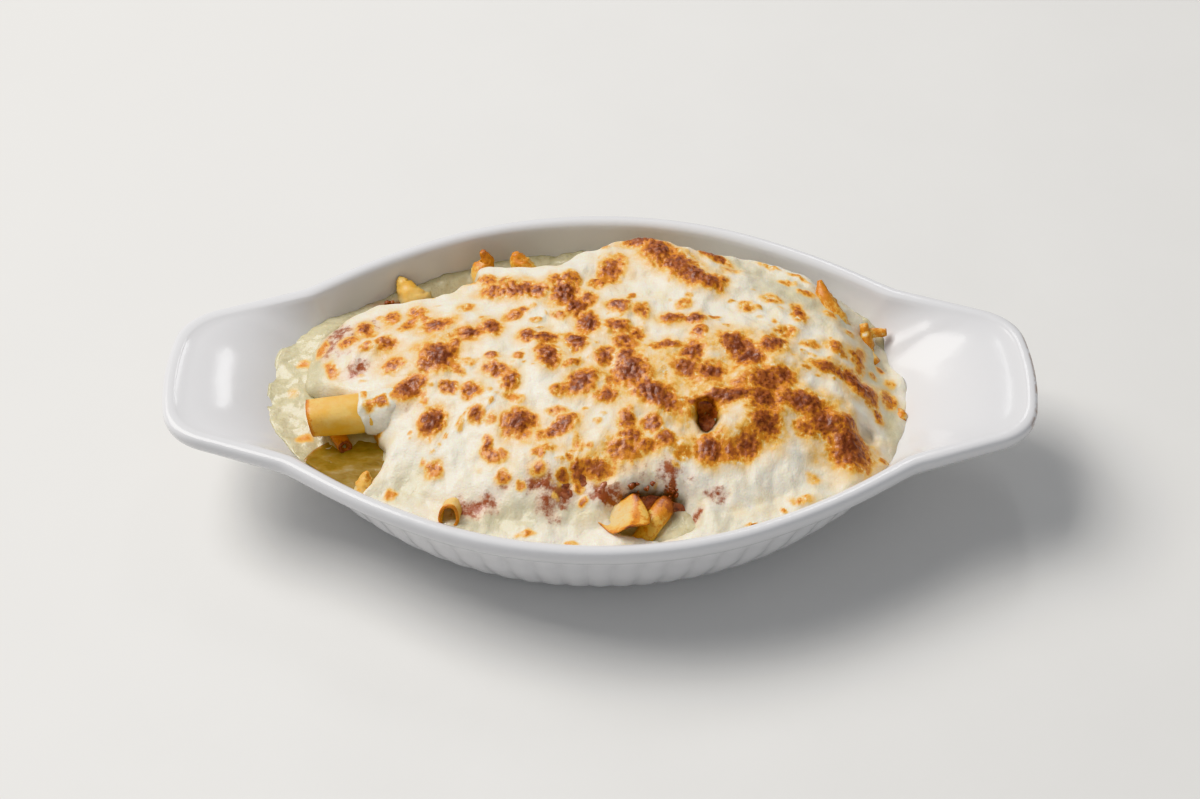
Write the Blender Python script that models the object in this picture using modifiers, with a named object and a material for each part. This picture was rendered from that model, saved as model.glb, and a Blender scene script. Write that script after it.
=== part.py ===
"""Baked pasta in its oval gratin dish, in metres, +Z up.

The origin is the middle of the dish's foot, and +X runs along the dish from ear to ear. The dish and the
food's layers are lofts: closed rings of points about the middle of the dish, whose sections change from
ring to ring. The dish's hollow, drawn in by a gap, trims every piece of food that meets the wall.
"""

import bmesh
import bpy
import numpy as np
from mathutils import Euler, Matrix, Vector

# Driving dimensions of the dish
DISH_LENGTH = 0.290
DISH_WIDTH = 0.150
DISH_HEIGHT = 0.045
BOWL_LENGTH = 0.216  # the oval bowl alone, without its ears
EAR_WIDTH = 0.055  # across an ear near its end
EAR_FLARE = 0.34  # how fast an ear widens towards the bowl
EAR_FLARE_START = DISH_LENGTH / 2 - 0.009  # where an ear has its stated width
EAR_NECK = 0.100  # from here inwards an ear narrows again, by this much times the distance squared
EAR_NECK_PULL = 4.0
SHOULDER = 0.018  # how softly an ear runs into the bowl's outline
EAR_CORNER = 0.009
EAR_END_CROWN = 0.002  # how far an ear's end edge bows out
EAR_SPAN = DISH_LENGTH / 2 - BOWL_LENGTH / 2
EAR_ROOT = 0.4 * EAR_SPAN  # how far out an ear's underside has reached its full depth

FLUTES = 64
FLUTE_DEPTH = 0.0009
DISH_POINTS = 2 * FLUTES  # round each ring, one on each flute's crest and one in each groove
OUTLINE_SAMPLES = 4097  # when points are spread evenly round an outline
HALVINGS = 40  # of the range in which the rim's radius is sought

LIP_WIDTH = 0.0042
LIP_ROUNDING = 0.0006  # the hollow starts this much inside the lip
LIP_DROP = 0.0018  # and this much below the rim
FLOOR_HALF_LENGTH = 0.076
FLOOR_HALF_WIDTH = 0.046
FLOOR_HEIGHT = 0.007

# Outer wall, from the foot up: half length, half width, height at the sides, height under the ears
OUTER_WALL = (
    (0.0790, 0.0535, 0.0000, 0.0000),
    (0.0802, 0.0547, 0.0009, 0.0009),
    (0.0905, 0.0625, 0.0110, 0.0110),
    (0.0995, 0.0687, 0.0230, 0.0180),
    (0.1045, 0.0716, 0.0325, 0.0235),
    (0.1070, 0.0728, 0.0372, 0.0268),
)
FLUTED_RINGS = (2, 3, 4)
# Rim band and rounded lip: how far in from the outline, height at the sides, height at the ears
RIM = (
    (0.0008, 0.0386, 0.0392),
    (0.0000, 0.0420, 0.0425),
    (0.0020, 0.0450, 0.0450),
    (LIP_WIDTH, 0.0443, 0.0443),
)
INNER_STEPS = (0.82, 0.58, 0.32, 0.0)  # along the inner wall's curve, from the lip down to the floor
# The inner wall's curve at the sides, and what the ears add to it: how far the floor runs out, how far out the wall
# stands as shares of the way from the floor to the bowl's oval, and the height of the wall's bend
FLOOR_RUN = (0.50, -0.10)
WALL_RUN = (0.89, -0.09)
WALL_BEND = (0.026, 0.015)

# Driving dimensions of the food
GAP = 0.0003  # between pieces that touch
PASTA_GAP = 1.4 * GAP  # more round the pasta, whose facets cut in from its radius
HOLLOW_GAP = 0.0008  # more at the wall, whose facets are finer than the hollow's
FOOD_POINTS = 48
MOUND_HEIGHT = 0.0155  # above the level at the wall
MOUND_HALF_LENGTH = 0.098
MOUND_FRONT = 0.066
MOUND_BACK = 0.075
MOUND_OFFSET_Y = 0.004
WALL_LEVEL = 0.0415  # where the cheese meets the wall along the front
BED_LEVEL = 0.0385
BED_BACK_DROP = 0.0105  # the bed lies this much lower behind the mound
RIGHT_DROP = 0.0110  # all of the food falls this much towards the right ear
LEFT_DROP = 0.0030  # and the bed this much towards the left one
# From where to where along x, or y behind the mound, each fall takes place
RIGHT_FALL = (0.076, 0.103)
LEFT_FALL = (0.084, 0.110)
BACK_FALL = (0.012, 0.045)
MOUND_POWER = 2.5  # how flat the mound's top is before it falls away
CHEESE_THICKNESS = 0.0045
CHEESE_EDGE = 0.0026
SAUCE_THICKNESS = 0.0042
SAUCE_EDGE_SHARE = 0.35  # of its thickness is lost at the sauce's edge
SAUCE_REVEAL = 0.0008  # the sauce lies this far below the cheese's top where it shows
BED_SHOULDER = 0.0050  # over which the bed drops beside the cheese
# Unevenness of the cheese's top and of the bed: height, and the lengths along x and y that set its pitch
CHEESE_WAVES = (0.0006, 0.0075, 0.0062)
CHEESE_WAVE_SKEW = 0.021
BED_WAVES = (0.0008, 0.005, 0.006)

CHEESE_HALF_LENGTH = 0.099
CHEESE_BACK = 0.058
CHEESE_FRONT = 0.086  # past the wall, so the wall trims it
# Steps in the cheese's outline: direction in degrees, spread in degrees, how far the edge moves out
CHEESE_STEPS = (
    (34, 12, -0.005),
    (96, 9, -0.005),
    (117, 15, -0.014),
    (147, 12, -0.018),
    (201, 9, -0.022),
    (352, 22, 0.008),
)
SAUCE_HALF_LENGTH = 0.097
SAUCE_BACK = 0.052
SAUCE_FRONT = 0.059
SAUCE_STEPS = ((117, 15, -0.014), (147, 14, -0.016), (203, 13, -0.030))

# Lumps that the food below pushes up through the cheese: x, y, radius, height
LUMPS = (
    (0.018, 0.049, 0.012, 0.0030),
    (0.033, 0.038, 0.011, 0.0024),
    (-0.010, 0.033, 0.010, 0.0026),
    (-0.030, 0.033, 0.010, 0.0018),
    (-0.085, 0.010, 0.012, 0.0035),
    (-0.055, 0.002, 0.014, 0.0020),
    (0.055, -0.008, 0.016, 0.0022),
    (0.078, -0.026, 0.010, 0.0020),
    (0.047, -0.030, 0.008, 0.0022),
    (-0.020, -0.044, 0.012, 0.0024),
    (0.010, -0.040, 0.011, 0.0020),
)
POCKET = (-0.081, -0.034, 0.0150, -0.0040)  # a dip in the bed beside the mound: x, y, radius, height

POOL_CENTRE = (-0.0790, -0.0345)
POOL_HALF_LENGTH = 0.0150
POOL_HALF_WIDTH = 0.0085
POOL_LEVEL = 0.0355
POOL_DEPTH = 0.0060
POOL_POINTS = 20

# Holes that bubbles left in the cheese: middle, half sizes
CHEESE_HOLES = (
    ((0.0370, -0.0250, 0.0530), (0.0055, 0.0065, 0.0085)),
    ((0.0880, -0.0225, 0.0450), (0.0045, 0.0050, 0.0050)),
)
HOLE_SEGMENTS = 12
HOLE_RINGS = 8
# The gap at the front where the cheese has pulled away over the pasta: middle, half sizes
FRONT_GAP = ((0.0170, -0.0570, 0.0450), (0.0140, 0.0085, 0.0110))
GAP_POINTS = 20

# Rings of the layers, as shares of their outline, and how far each layer's points are turned, in steps
UNDER_SHARES = (0.25, 0.6, 0.85, 1.0)
TOP_SHARES = (1.0, 0.93, 0.82, 0.68, 0.52, 0.34, 0.16)
SAUCE_TOP_SHARES = (1.0, 0.8, 0.4)
BED_SHARES = (1.0, 0.91, 0.83, 0.76, 0.69, 0.6, 0.3)
BED_BASE_SHARES = (0.5, 1.0)
ROOM_TOP_SHARES = (1.0, 0.2)
CHEESE_SHIFT, SAUCE_SHIFT, BED_SHIFT = 0.0, 0.37, 0.68
LEVEL_TOLERANCE = 1e-7  # a closing ring flatter than this becomes one flat face

SMOOTH_UP_TO = np.radians(40)  # edges sharper than this stay sharp

PASTA_SIDES = 10
PASTA_WALL = 0.0012
# name: middle, heading and rise in degrees, length, radius, width and height factors, end cut in degrees
PASTA = {
    "penne_left_front": ((-0.0835, -0.0165, 0.0456), 8, 3, 0.036, 0.0070, (1.0, 1.0), 32),
    "penne_left_under": ((-0.0810, -0.0285, 0.0368), 354, 2, 0.022, 0.0048, (1.0, 0.8), -24),
    "penne_tip_left": ((-0.0740, -0.0440, 0.0380), 82, 58, 0.014, 0.0042, (1.0, 0.8), 48),
    "penne_end_front": ((-0.0470, -0.0530, 0.0410), 262, 12, 0.016, 0.0046, (0.8, 1.15), 12),
    "noodle_front_open": ((0.0050, -0.0610, 0.0425), 338, 6, 0.021, 0.0062, (1.25, 0.85), -34),
    "noodle_front_back": ((0.0250, -0.0545, 0.0405), 35, 34, 0.019, 0.0046, (1.0, 0.8), 42),
    "penne_back_left": ((-0.0395, 0.0535, 0.0350), 112, 62, 0.025, 0.0052, (1.0, 0.85), 52),
    "penne_back_middle": ((-0.0265, 0.0535, 0.0350), 118, 64, 0.023, 0.0054, (1.0, 0.85), 36),
    "penne_corner_back": ((-0.0670, 0.0405, 0.0370), 120, 40, 0.018, 0.0046, (1.0, 0.8), 50),
    "penne_right_back": ((0.0780, 0.0300, 0.0415), 100, 28, 0.024, 0.0042, (1.0, 0.8), 58),
}


def clear_scene():
    for obj in list(bpy.data.objects):
        bpy.data.objects.remove(obj, do_unlink=True)


def new_collection(name, hidden=False):
    collection = bpy.data.collections.new(name)
    bpy.context.scene.collection.children.link(collection)
    collection.hide_render = hidden
    return collection


def new_material(name, colour, roughness):
    material = bpy.data.materials.new(name)
    material.use_nodes = True
    shader = material.node_tree.nodes["Principled BSDF"]
    shader.inputs["Base Color"].default_value = (*colour, 1.0)
    shader.inputs["Roughness"].default_value = roughness
    shader.inputs["Metallic"].default_value = 0.0
    return material


def smooth_max(a, b, reach):
    return np.maximum(a, b) + np.maximum(reach - np.abs(a - b), 0.0) ** 2 / (4 * reach)


def smooth_step(low, high, value):
    t = np.clip((value - low) / (high - low), 0.0, 1.0)
    return t * t * (3 - 2 * t)


def oval_radius(angle, half_length, half_width):
    return 1 / np.hypot(np.cos(angle) / half_length, np.sin(angle) / half_width)


# The dish


def rim_field(x, y, inset):
    """Below zero inside the dish's outline, which is drawn in by inset."""
    x, y = np.abs(x), np.abs(y)
    end = BOWL_LENGTH / 2 - inset
    bowl = (DISH_WIDTH / 2 - inset) * np.sqrt(np.maximum(1 - (x / end) ** 2, 0.0))
    flare = EAR_FLARE * (EAR_FLARE_START - x)
    neck = EAR_NECK_PULL * np.maximum(EAR_NECK - x, 0.0) ** 2
    side = y - smooth_max(bowl, EAR_WIDTH / 2 - inset + flare - neck, SHOULDER)
    bow = EAR_END_CROWN * (y / (EAR_WIDTH / 3)) ** 2
    return smooth_max(side, x - (DISH_LENGTH / 2 - inset - bow), EAR_CORNER)


def rim_radius(angle, inset=0.0):
    low = np.full_like(angle, DISH_WIDTH / 4)
    high = np.full_like(angle, DISH_LENGTH / 2 + EAR_CORNER)
    for _ in range(HALVINGS):
        middle = (low + high) / 2
        outside = rim_field(middle * np.cos(angle), middle * np.sin(angle), inset) > 0
        low, high = np.where(outside, low, middle), np.where(outside, middle, high)
    return low


def even_angles(radius, count):
    """Angles of count points spread evenly along the closed curve radius(angle)."""
    angle = np.linspace(0, 2 * np.pi, OUTLINE_SAMPLES)
    points = radius(angle) * np.array([np.cos(angle), np.sin(angle)])
    length = np.concatenate([[0], np.cumsum(np.hypot(*np.diff(points)))])
    return np.interp(np.arange(count) / count * length[-1], length, angle)


def ring(angle, radius, height):
    return np.column_stack([radius * np.cos(angle), radius * np.sin(angle), radius * 0 + height])


WALL_ANGLES = even_angles(lambda a: oval_radius(a, *OUTER_WALL[4][:2]), DISH_POINTS)
RIM_ANGLES = (WALL_ANGLES + even_angles(rim_radius, DISH_POINTS)) / 2


def ear_share(angle, span=EAR_SPAN):
    """0 along the dish's sides, rising to 1 where the ear stands this far out from the bowl's oval."""
    bowl = oval_radius(angle, BOWL_LENGTH / 2, DISH_WIDTH / 2)
    return smooth_step(0.0, span, rim_radius(angle) - bowl)


def inner_wall(angle, step):
    """Radius and height along the hollow's curve, from the floor at step 0 to the lip at step 1."""
    share = ear_share(angle)
    floor = oval_radius(angle, FLOOR_HALF_LENGTH, FLOOR_HALF_WIDTH)
    bowl = oval_radius(angle, BOWL_LENGTH / 2 - LIP_WIDTH, DISH_WIDTH / 2 - LIP_WIDTH) - floor
    floor_run, wall_run, bend = (side + ear * share for side, ear in (FLOOR_RUN, WALL_RUN, WALL_BEND))
    controls = (
        (floor, FLOOR_HEIGHT),
        (floor + floor_run * bowl, FLOOR_HEIGHT),
        (floor + wall_run * bowl, bend),
        (rim_radius(angle, LIP_WIDTH + LIP_ROUNDING), DISH_HEIGHT - LIP_DROP),
    )
    weights = ((1 - step) ** 3, 3 * step * (1 - step) ** 2, 3 * step**2 * (1 - step), step**3)
    radius = sum(w * r for w, (r, _) in zip(weights, controls))
    height = sum(w * (z + 0 * angle) for w, (_, z) in zip(weights, controls))
    return radius, height


def dish_rings():
    share_wall, share_rim = (ear_share(each, EAR_ROOT) for each in (WALL_ANGLES, RIM_ANGLES))
    flute = np.where(np.arange(DISH_POINTS) % 2, -0.5, 0.5) * FLUTE_DEPTH
    rings = []
    for level, (half_length, half_width, side, end) in enumerate(OUTER_WALL):
        radius = oval_radius(WALL_ANGLES, half_length, half_width)
        if level in FLUTED_RINGS:
            radius = radius + flute
        rings.append(ring(WALL_ANGLES, radius, side + (end - side) * share_wall))
    for inset, side, end in RIM:
        rings.append(ring(RIM_ANGLES, rim_radius(RIM_ANGLES, inset), side + (end - side) * share_rim))
    rings += [ring(RIM_ANGLES, *inner_wall(RIM_ANGLES, step)) for step in INNER_STEPS]
    return rings


def hollow_rings():
    """The dish's hollow, floor first, drawn in by the gap, and open upwards past the food."""
    angle = RIM_ANGLES[::2]
    rings = []
    for step in reversed((1.0, *INNER_STEPS)):
        radius, height = inner_wall(angle, step)
        rings.append(ring(angle, radius - HOLLOW_GAP, height + HOLLOW_GAP))
    rings.append(rings[-1] + np.array([0, 0, DISH_HEIGHT]))
    return rings


# The food's surfaces


def lump(x, y, centre_x, centre_y, radius, height):
    return height * np.exp(-((x - centre_x) ** 2 + (y - centre_y) ** 2) / radius**2)


def right_fall(x):
    return RIGHT_DROP * smooth_step(*RIGHT_FALL, x)


def dome(x, y):
    """The height of the cheese's top."""
    v = y - MOUND_OFFSET_Y
    reach = np.hypot(x / MOUND_HALF_LENGTH, v / np.where(v < 0, MOUND_FRONT, MOUND_BACK))
    rise = MOUND_HEIGHT * np.maximum(1 - reach**MOUND_POWER, 0.0)
    height, along, across = CHEESE_WAVES
    waves = height * np.sin(x / along + 1.0) * np.sin(y / across + x / CHEESE_WAVE_SKEW)
    return WALL_LEVEL - right_fall(x) + rise + waves + sum(lump(x, y, *each) for each in LUMPS)


def bed_level(x, y):
    """The height of the pasta and cream where no cheese covers them."""
    back = BED_BACK_DROP * smooth_step(*BACK_FALL, y)
    falls = np.maximum(back, right_fall(x)) + LEFT_DROP * smooth_step(*LEFT_FALL, -x)
    height, along, across = BED_WAVES
    return BED_LEVEL - falls + lump(x, y, *POCKET) + height * np.sin(x / along) * np.cos(y / across)


def stepped_outline(half_length, back, front, steps):
    def radius(angle):
        half_width = np.where(np.sin(angle) > 0, back, front)
        base = oval_radius(angle, half_length, half_width)
        for direction, spread, amount in steps:
            turn = (np.degrees(angle) - direction + 180) % 360 - 180
            base = base + amount * np.exp(-((turn / spread) ** 4))
        return base

    return radius


cheese_edge = stepped_outline(CHEESE_HALF_LENGTH, CHEESE_BACK, CHEESE_FRONT, CHEESE_STEPS)
sauce_edge = stepped_outline(SAUCE_HALF_LENGTH, SAUCE_BACK, SAUCE_FRONT, SAUCE_STEPS)


def cheese_underside(x, y, share):
    """The cheese thins from its middle, share 0, to its edge, share 1."""
    return dome(x, y) - CHEESE_THICKNESS + (CHEESE_THICKNESS - CHEESE_EDGE) * share**3


def food_angles(shift):
    """Even angles, turned by a share of a step so that no two layers have edges in one plane."""
    return (np.arange(FOOD_POINTS) + shift) / FOOD_POINTS * 2 * np.pi


def spread(edge, shift, shares, height, extra=0.0):
    """Rings at these shares of the outline edge(angle), on the surface height(x, y, share)."""
    angle = food_angles(shift)
    rings = []
    for share in shares:
        radius = share * edge(angle) + (extra if share == 1 else 0.0)
        x, y = radius * np.cos(angle), radius * np.sin(angle)
        rings.append(np.column_stack([x, y, height(x, y, share) + 0 * x]))
    return rings


def cheese_rings():
    under = spread(cheese_edge, CHEESE_SHIFT, UNDER_SHARES, cheese_underside)
    return under + spread(cheese_edge, CHEESE_SHIFT, TOP_SHARES, lambda x, y, share: dome(x, y))


def cheese_room_rings():
    """What the cheese takes out of the pieces below it, with the gap."""
    under = spread(cheese_edge, CHEESE_SHIFT, UNDER_SHARES, lambda x, y, s: cheese_underside(x, y, s) - GAP, GAP)
    return under + spread(cheese_edge, CHEESE_SHIFT, ROOM_TOP_SHARES, lambda x, y, s: 2 * DISH_HEIGHT, GAP)


def sauce_underside(x, y, share):
    return dome(x, y) - CHEESE_THICKNESS - SAUCE_THICKNESS * (1 - SAUCE_EDGE_SHARE * share**3)


def sauce_rings():
    under = spread(sauce_edge, SAUCE_SHIFT, UNDER_SHARES, sauce_underside)
    return under + spread(sauce_edge, SAUCE_SHIFT, SAUCE_TOP_SHARES, lambda x, y, s: dome(x, y) - SAUCE_REVEAL)


def sauce_room_rings():
    under = spread(sauce_edge, SAUCE_SHIFT, UNDER_SHARES, lambda x, y, s: sauce_underside(x, y, s) - GAP, GAP)
    return under + spread(sauce_edge, SAUCE_SHIFT, ROOM_TOP_SHARES, lambda x, y, s: 2 * DISH_HEIGHT, GAP)


def bed_top(x, y):
    """Under the cheese the bed reaches into it, and beside the cheese it drops to its own level."""
    past_cheese = np.hypot(x, y) - cheese_edge(np.arctan2(y, x))
    drop = smooth_step(0.0, BED_SHOULDER, past_cheese)
    return (1 - drop) * (dome(x, y) - CHEESE_EDGE / 2) + drop * bed_level(x, y)


def bed_rings():
    """The bed runs out past the wall and down past the floor, which trim it."""
    angle = food_angles(BED_SHIFT)
    wall = rim_radius(angle) + BED_SHOULDER
    rings = [ring(angle, wall * share, -BED_LEVEL) for share in BED_BASE_SHARES]
    for share in BED_SHARES:
        x, y = share * wall * np.cos(angle), share * wall * np.sin(angle)
        rings.append(np.column_stack([x, y, bed_top(x, y)]))
    return rings


def pool_rings(extra=0.0):
    angle = np.arange(POOL_POINTS) / POOL_POINTS * 2 * np.pi
    radius = oval_radius(angle, POOL_HALF_LENGTH + extra, POOL_HALF_WIDTH + extra)
    centre = np.array([*POOL_CENTRE, 0.0])
    heights = (POOL_LEVEL - POOL_DEPTH - extra, POOL_LEVEL + (DISH_HEIGHT if extra else 0.0))
    return [centre + ring(angle, radius, height) for height in heights]


# Building


def loft(name, rings, material, collection):
    """One closed body through the rings, lowest first, each running anticlockwise from above."""
    mesh = bpy.data.meshes.new(name)
    shell = bmesh.new()
    rows = [[shell.verts.new(point) for point in points] for points in rings]
    count = len(rows[0])
    for lower, upper in zip(rows, rows[1:]):
        for i in range(count):
            j = (i + 1) % count
            shell.faces.new((lower[i], lower[j], upper[j]))
            shell.faces.new((lower[i], upper[j], upper[i]))
    for row, centre in ((rows[0][::-1], rings[0]), (rows[-1], rings[-1])):
        if np.ptp(centre[:, 2]) < LEVEL_TOLERANCE:
            shell.faces.new(row)
            continue
        middle = shell.verts.new(centre.mean(axis=0))
        for i in range(count):
            shell.faces.new((row[i], row[(i + 1) % count], middle))
    shell.to_mesh(mesh)
    shell.free()
    return place(name, mesh, material, collection)


def place(name, mesh, material, collection):
    obj = bpy.data.objects.new(name, mesh)
    collection.objects.link(obj)
    if material:
        mesh.materials.append(material)
        mesh.shade_smooth()
        mesh.set_sharp_from_angle(angle=SMOOTH_UP_TO)
    else:
        obj.hide_render = True
        obj.display_type = "WIRE"
    return obj


def trim(obj, other, operation="DIFFERENCE"):
    """The layers' faces lie too near each other for the EXACT solver, which leaves holes in them."""
    modifier = obj.modifiers.new(f"{operation.title()} {other.name}", "BOOLEAN")
    modifier.operation = operation
    modifier.solver = "MANIFOLD"
    modifier.object = other


def pasta_mesh(name, length, radius, factors, cut, hollow):
    """A tube along +X with slanted ends; hollow ones are left open for their wall."""
    mesh = bpy.data.meshes.new(name)
    tube = bmesh.new()
    bmesh.ops.create_cone(
        tube,
        cap_ends=not hollow,
        segments=PASTA_SIDES,
        radius1=radius,
        radius2=radius,
        depth=length,
        matrix=Matrix.Rotation(np.pi / 2, 4, "Y"),
    )
    for vert in tube.verts:
        vert.co.x += np.sign(vert.co.x) * vert.co.z * np.tan(np.radians(cut))
        vert.co.y *= factors[0]
        vert.co.z *= factors[1]
    tube.to_mesh(mesh)
    tube.free()
    return mesh


def pasta_piece(name, sizes, material, parts, cutters):
    """A piece of tube pasta, and the room that it takes out of the food round it."""
    middle, heading, rise, length, radius, factors, cut = sizes
    turn = Euler((0, -np.radians(rise), np.radians(heading)))
    piece = place(name, pasta_mesh(name, length, radius, factors, cut, hollow=True), material, parts)
    wall = piece.modifiers.new("Wall", "SOLIDIFY")
    wall.thickness = PASTA_WALL
    wall.offset = -1
    wall.use_rim = True
    past_rim = 2 * GAP + PASTA_WALL * np.tan(np.radians(abs(cut)))
    room_sizes = (length + 2 * past_rim, radius + PASTA_GAP, factors, cut)
    room_mesh = pasta_mesh(f"{name}_room", *room_sizes, hollow=False)
    room = place(f"{name}_room", room_mesh, None, cutters)
    for obj in (piece, room):
        obj.location = Vector(middle)
        obj.rotation_euler = turn
    return piece, room


def hole_cutter(number, middle, sizes, cutters):
    mesh = bpy.data.meshes.new(f"hole_{number}")
    ball = bmesh.new()
    bmesh.ops.create_uvsphere(ball, u_segments=HOLE_SEGMENTS, v_segments=HOLE_RINGS, radius=1.0)
    bmesh.ops.scale(ball, vec=sizes, verts=ball.verts)
    ball.to_mesh(mesh)
    ball.free()
    cutter = place(mesh.name, mesh, None, cutters)
    cutter.location = middle
    return cutter


def gap_cutter(middle, sizes, cutters):
    half_length, half_width, half_height = sizes
    angle = np.arange(GAP_POINTS) / GAP_POINTS * 2 * np.pi
    outline = ring(angle, oval_radius(angle, half_length, half_width), 0.0) + np.array(middle)
    rise = np.array([0.0, 0.0, half_height])
    return loft("front_gap", [outline - rise, outline + rise], None, cutters)


def build():
    clear_scene()
    parts = new_collection("Baked pasta in gratin dish")
    cutters = new_collection("Cutters", hidden=True)

    glaze = new_material("White glaze", (0.83, 0.81, 0.79), 0.18)
    cheese_look = new_material("Melted cheese", (0.84, 0.70, 0.45), 0.40)
    sauce_look = new_material("Red meat sauce", (0.36, 0.10, 0.04), 0.45)
    cream_look = new_material("Pasta in cream", (0.74, 0.64, 0.38), 0.42)
    pool_look = new_material("Pooled sauce", (0.42, 0.28, 0.07), 0.20)
    pasta_look = new_material("Cooked pasta", (0.80, 0.52, 0.14), 0.45)

    loft("gratin_dish", dish_rings(), glaze, parts)
    bed = loft("pasta_bed", bed_rings(), cream_look, parts)
    sauce = loft("sauce_layer", sauce_rings(), sauce_look, parts)
    cheese = loft("melted_cheese", cheese_rings(), cheese_look, parts)
    pool = loft("pooled_sauce", pool_rings(), pool_look, parts)

    hollow = loft("hollow", hollow_rings(), None, cutters)
    cheese_room = loft("cheese_room", cheese_room_rings(), None, cutters)
    sauce_room = loft("sauce_room", sauce_room_rings(), None, cutters)
    pool_room = loft("pool_room", pool_rings(GAP), None, cutters)

    for layer in (bed, sauce, cheese, pool):
        trim(layer, hollow, "INTERSECT")
    trim(bed, cheese_room)
    trim(bed, sauce_room)
    trim(bed, pool_room)
    trim(sauce, cheese_room)
    front_gap = gap_cutter(*FRONT_GAP, cutters)
    trim(cheese, front_gap)
    trim(sauce, front_gap)
    for number, (middle, sizes) in enumerate(CHEESE_HOLES):
        trim(cheese, hole_cutter(number, middle, sizes, cutters))
    for name, sizes in PASTA.items():
        piece, room = pasta_piece(name, sizes, pasta_look, parts, cutters)
        trim(piece, hollow, "INTERSECT")
        for layer in (bed, sauce, cheese, pool):
            trim(layer, room)


build()
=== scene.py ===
"""Looks of the baked pasta in its gratin dish, laid out as a Blender add-on and run as a script.

Every size is in metres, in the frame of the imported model: the origin is the middle of the dish's foot, +X runs
from ear to ear, +Y away from the side with the open front gap, and +Z is up. The dish's outline and the food's
levels are the design's own functions, evaluated here on much finer meshes.
"""

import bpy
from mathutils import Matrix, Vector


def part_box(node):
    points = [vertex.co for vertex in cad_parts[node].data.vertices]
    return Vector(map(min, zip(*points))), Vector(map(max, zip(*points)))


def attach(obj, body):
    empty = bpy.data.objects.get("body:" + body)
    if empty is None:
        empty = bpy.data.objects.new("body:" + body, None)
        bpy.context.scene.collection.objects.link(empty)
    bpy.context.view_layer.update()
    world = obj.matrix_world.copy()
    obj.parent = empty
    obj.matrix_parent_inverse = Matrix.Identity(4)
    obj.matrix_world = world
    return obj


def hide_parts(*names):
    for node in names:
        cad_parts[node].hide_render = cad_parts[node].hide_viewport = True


bl_info = {
    "name": "Baked Pasta Dish",
    "version": (1, 0, 0),
    "blender": (4, 5, 0),
    "location": "3D View > Sidebar > Baked Pasta",
    "description": "Makes a baked pasta with a browned cheese top in its oval gratin dish",
    "category": "Add Mesh",
}

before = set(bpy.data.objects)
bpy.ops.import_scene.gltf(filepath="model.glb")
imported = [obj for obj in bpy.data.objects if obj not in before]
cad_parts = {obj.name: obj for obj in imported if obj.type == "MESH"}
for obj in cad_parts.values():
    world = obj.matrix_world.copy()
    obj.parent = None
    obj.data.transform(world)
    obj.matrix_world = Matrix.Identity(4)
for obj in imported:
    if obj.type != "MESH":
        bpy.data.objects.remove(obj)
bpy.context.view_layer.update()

import bmesh
import bpy
import numpy as np
from bpy.props import FloatProperty, FloatVectorProperty, IntProperty, PointerProperty
from mathutils import Euler, Vector

DISH_LOW, DISH_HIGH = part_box("gratin_dish")
MM = 0.001

# The dish's outline and walls
DISH_LENGTH = DISH_HIGH.x - DISH_LOW.x
DISH_WIDTH = DISH_HIGH.y - DISH_LOW.y
DISH_HEIGHT = DISH_HIGH.z
BOWL_LENGTH = 0.216
EAR_WIDTH = 0.055
EAR_FLARE = 0.34
EAR_FLARE_START = DISH_LENGTH / 2 - 0.009
EAR_NECK = 0.100
EAR_NECK_PULL = 4.0
SHOULDER = 0.018
EAR_CORNER = 0.009
EAR_END_CROWN = 0.002
EAR_SPAN = (DISH_LENGTH - BOWL_LENGTH) / 2
EAR_ROOT = 0.4 * EAR_SPAN
# Outer wall, from the foot up: half length, half width, height at the sides, height under the ears
OUTER_WALL = (
    (0.0790, 0.0535, 0.0000, 0.0000),
    (0.0802, 0.0547, 0.0009, 0.0009),
    (0.0905, 0.0625, 0.0110, 0.0110),
    (0.0995, 0.0687, 0.0230, 0.0180),
    (0.1045, 0.0716, 0.0325, 0.0235),
    (0.1070, 0.0728, 0.0372, 0.0268),
)
FLUTE_SHARES = (0.0, 0.0, 0.8, 1.0, 1.0, 0.0)  # of the flutes' full depth at each of those levels
# The lip's section as Bezier arcs: how far in from the outline, height at the sides, height at the ears
LIP_ARCS = (
    ((0.0008, 0.0386, 0.0392), (0.0000, 0.0398, 0.0404), (0.0000, 0.0420, 0.0425)),
    ((0.0000, 0.0420, 0.0425), (0.0000, 0.0450, 0.0450), (0.0022, 0.0450, 0.0450)),
    ((0.0022, 0.0450, 0.0450), (0.0040, 0.0450, 0.0450), (0.0048, 0.0432, 0.0445)),
)
LIP_INNER = LIP_ARCS[-1][0][0] + 0.0020  # how far in the bowl's own oval starts
# Foot, as shares of the first level's oval and heights: a shallow recess inside the ring that it stands on
FOOT = ((0.30, 0.0014), (0.70, 0.0014), (0.87, 0.0012), (0.91, 0.0002), (0.94, 0.0000), (0.98, 0.0000))
FLOOR_HALF_LENGTH = 0.076
FLOOR_HALF_WIDTH = 0.046
FLOOR_HEIGHT = 0.007
# The two middle control points of the hollow's curve, from the floor up: the share of the way from the floor's oval
# to the bowl's, at the sides and under the ears, and the height at both
WALL_CONTROLS = (((0.50, 0.40), (FLOOR_HEIGHT, FLOOR_HEIGHT)), ((0.89, 0.80), (0.026, 0.041)))
# How fine the dish's rings are: steps between two levels, rings down the hollow, and rings on its floor as shares
CURVE_STEPS = 5
HOLLOW_RINGS = 29
FLOOR_RINGS = (0.75, 0.45, 0.15)
# The glaze is worn this far in from the outline, between these places along X and these heights
WORN_REACH = 0.0012
WORN_X = (0.138, 0.144)
WORN_LOW = (0.0360, 0.0400)
WORN_HIGH = (0.0452, 0.0440)
# Loose pasta and pooled sauce stay this far inside the wall, which is followed up to this height
WALL_GAP = 0.0006
WALL_TOP = 0.0425

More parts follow.
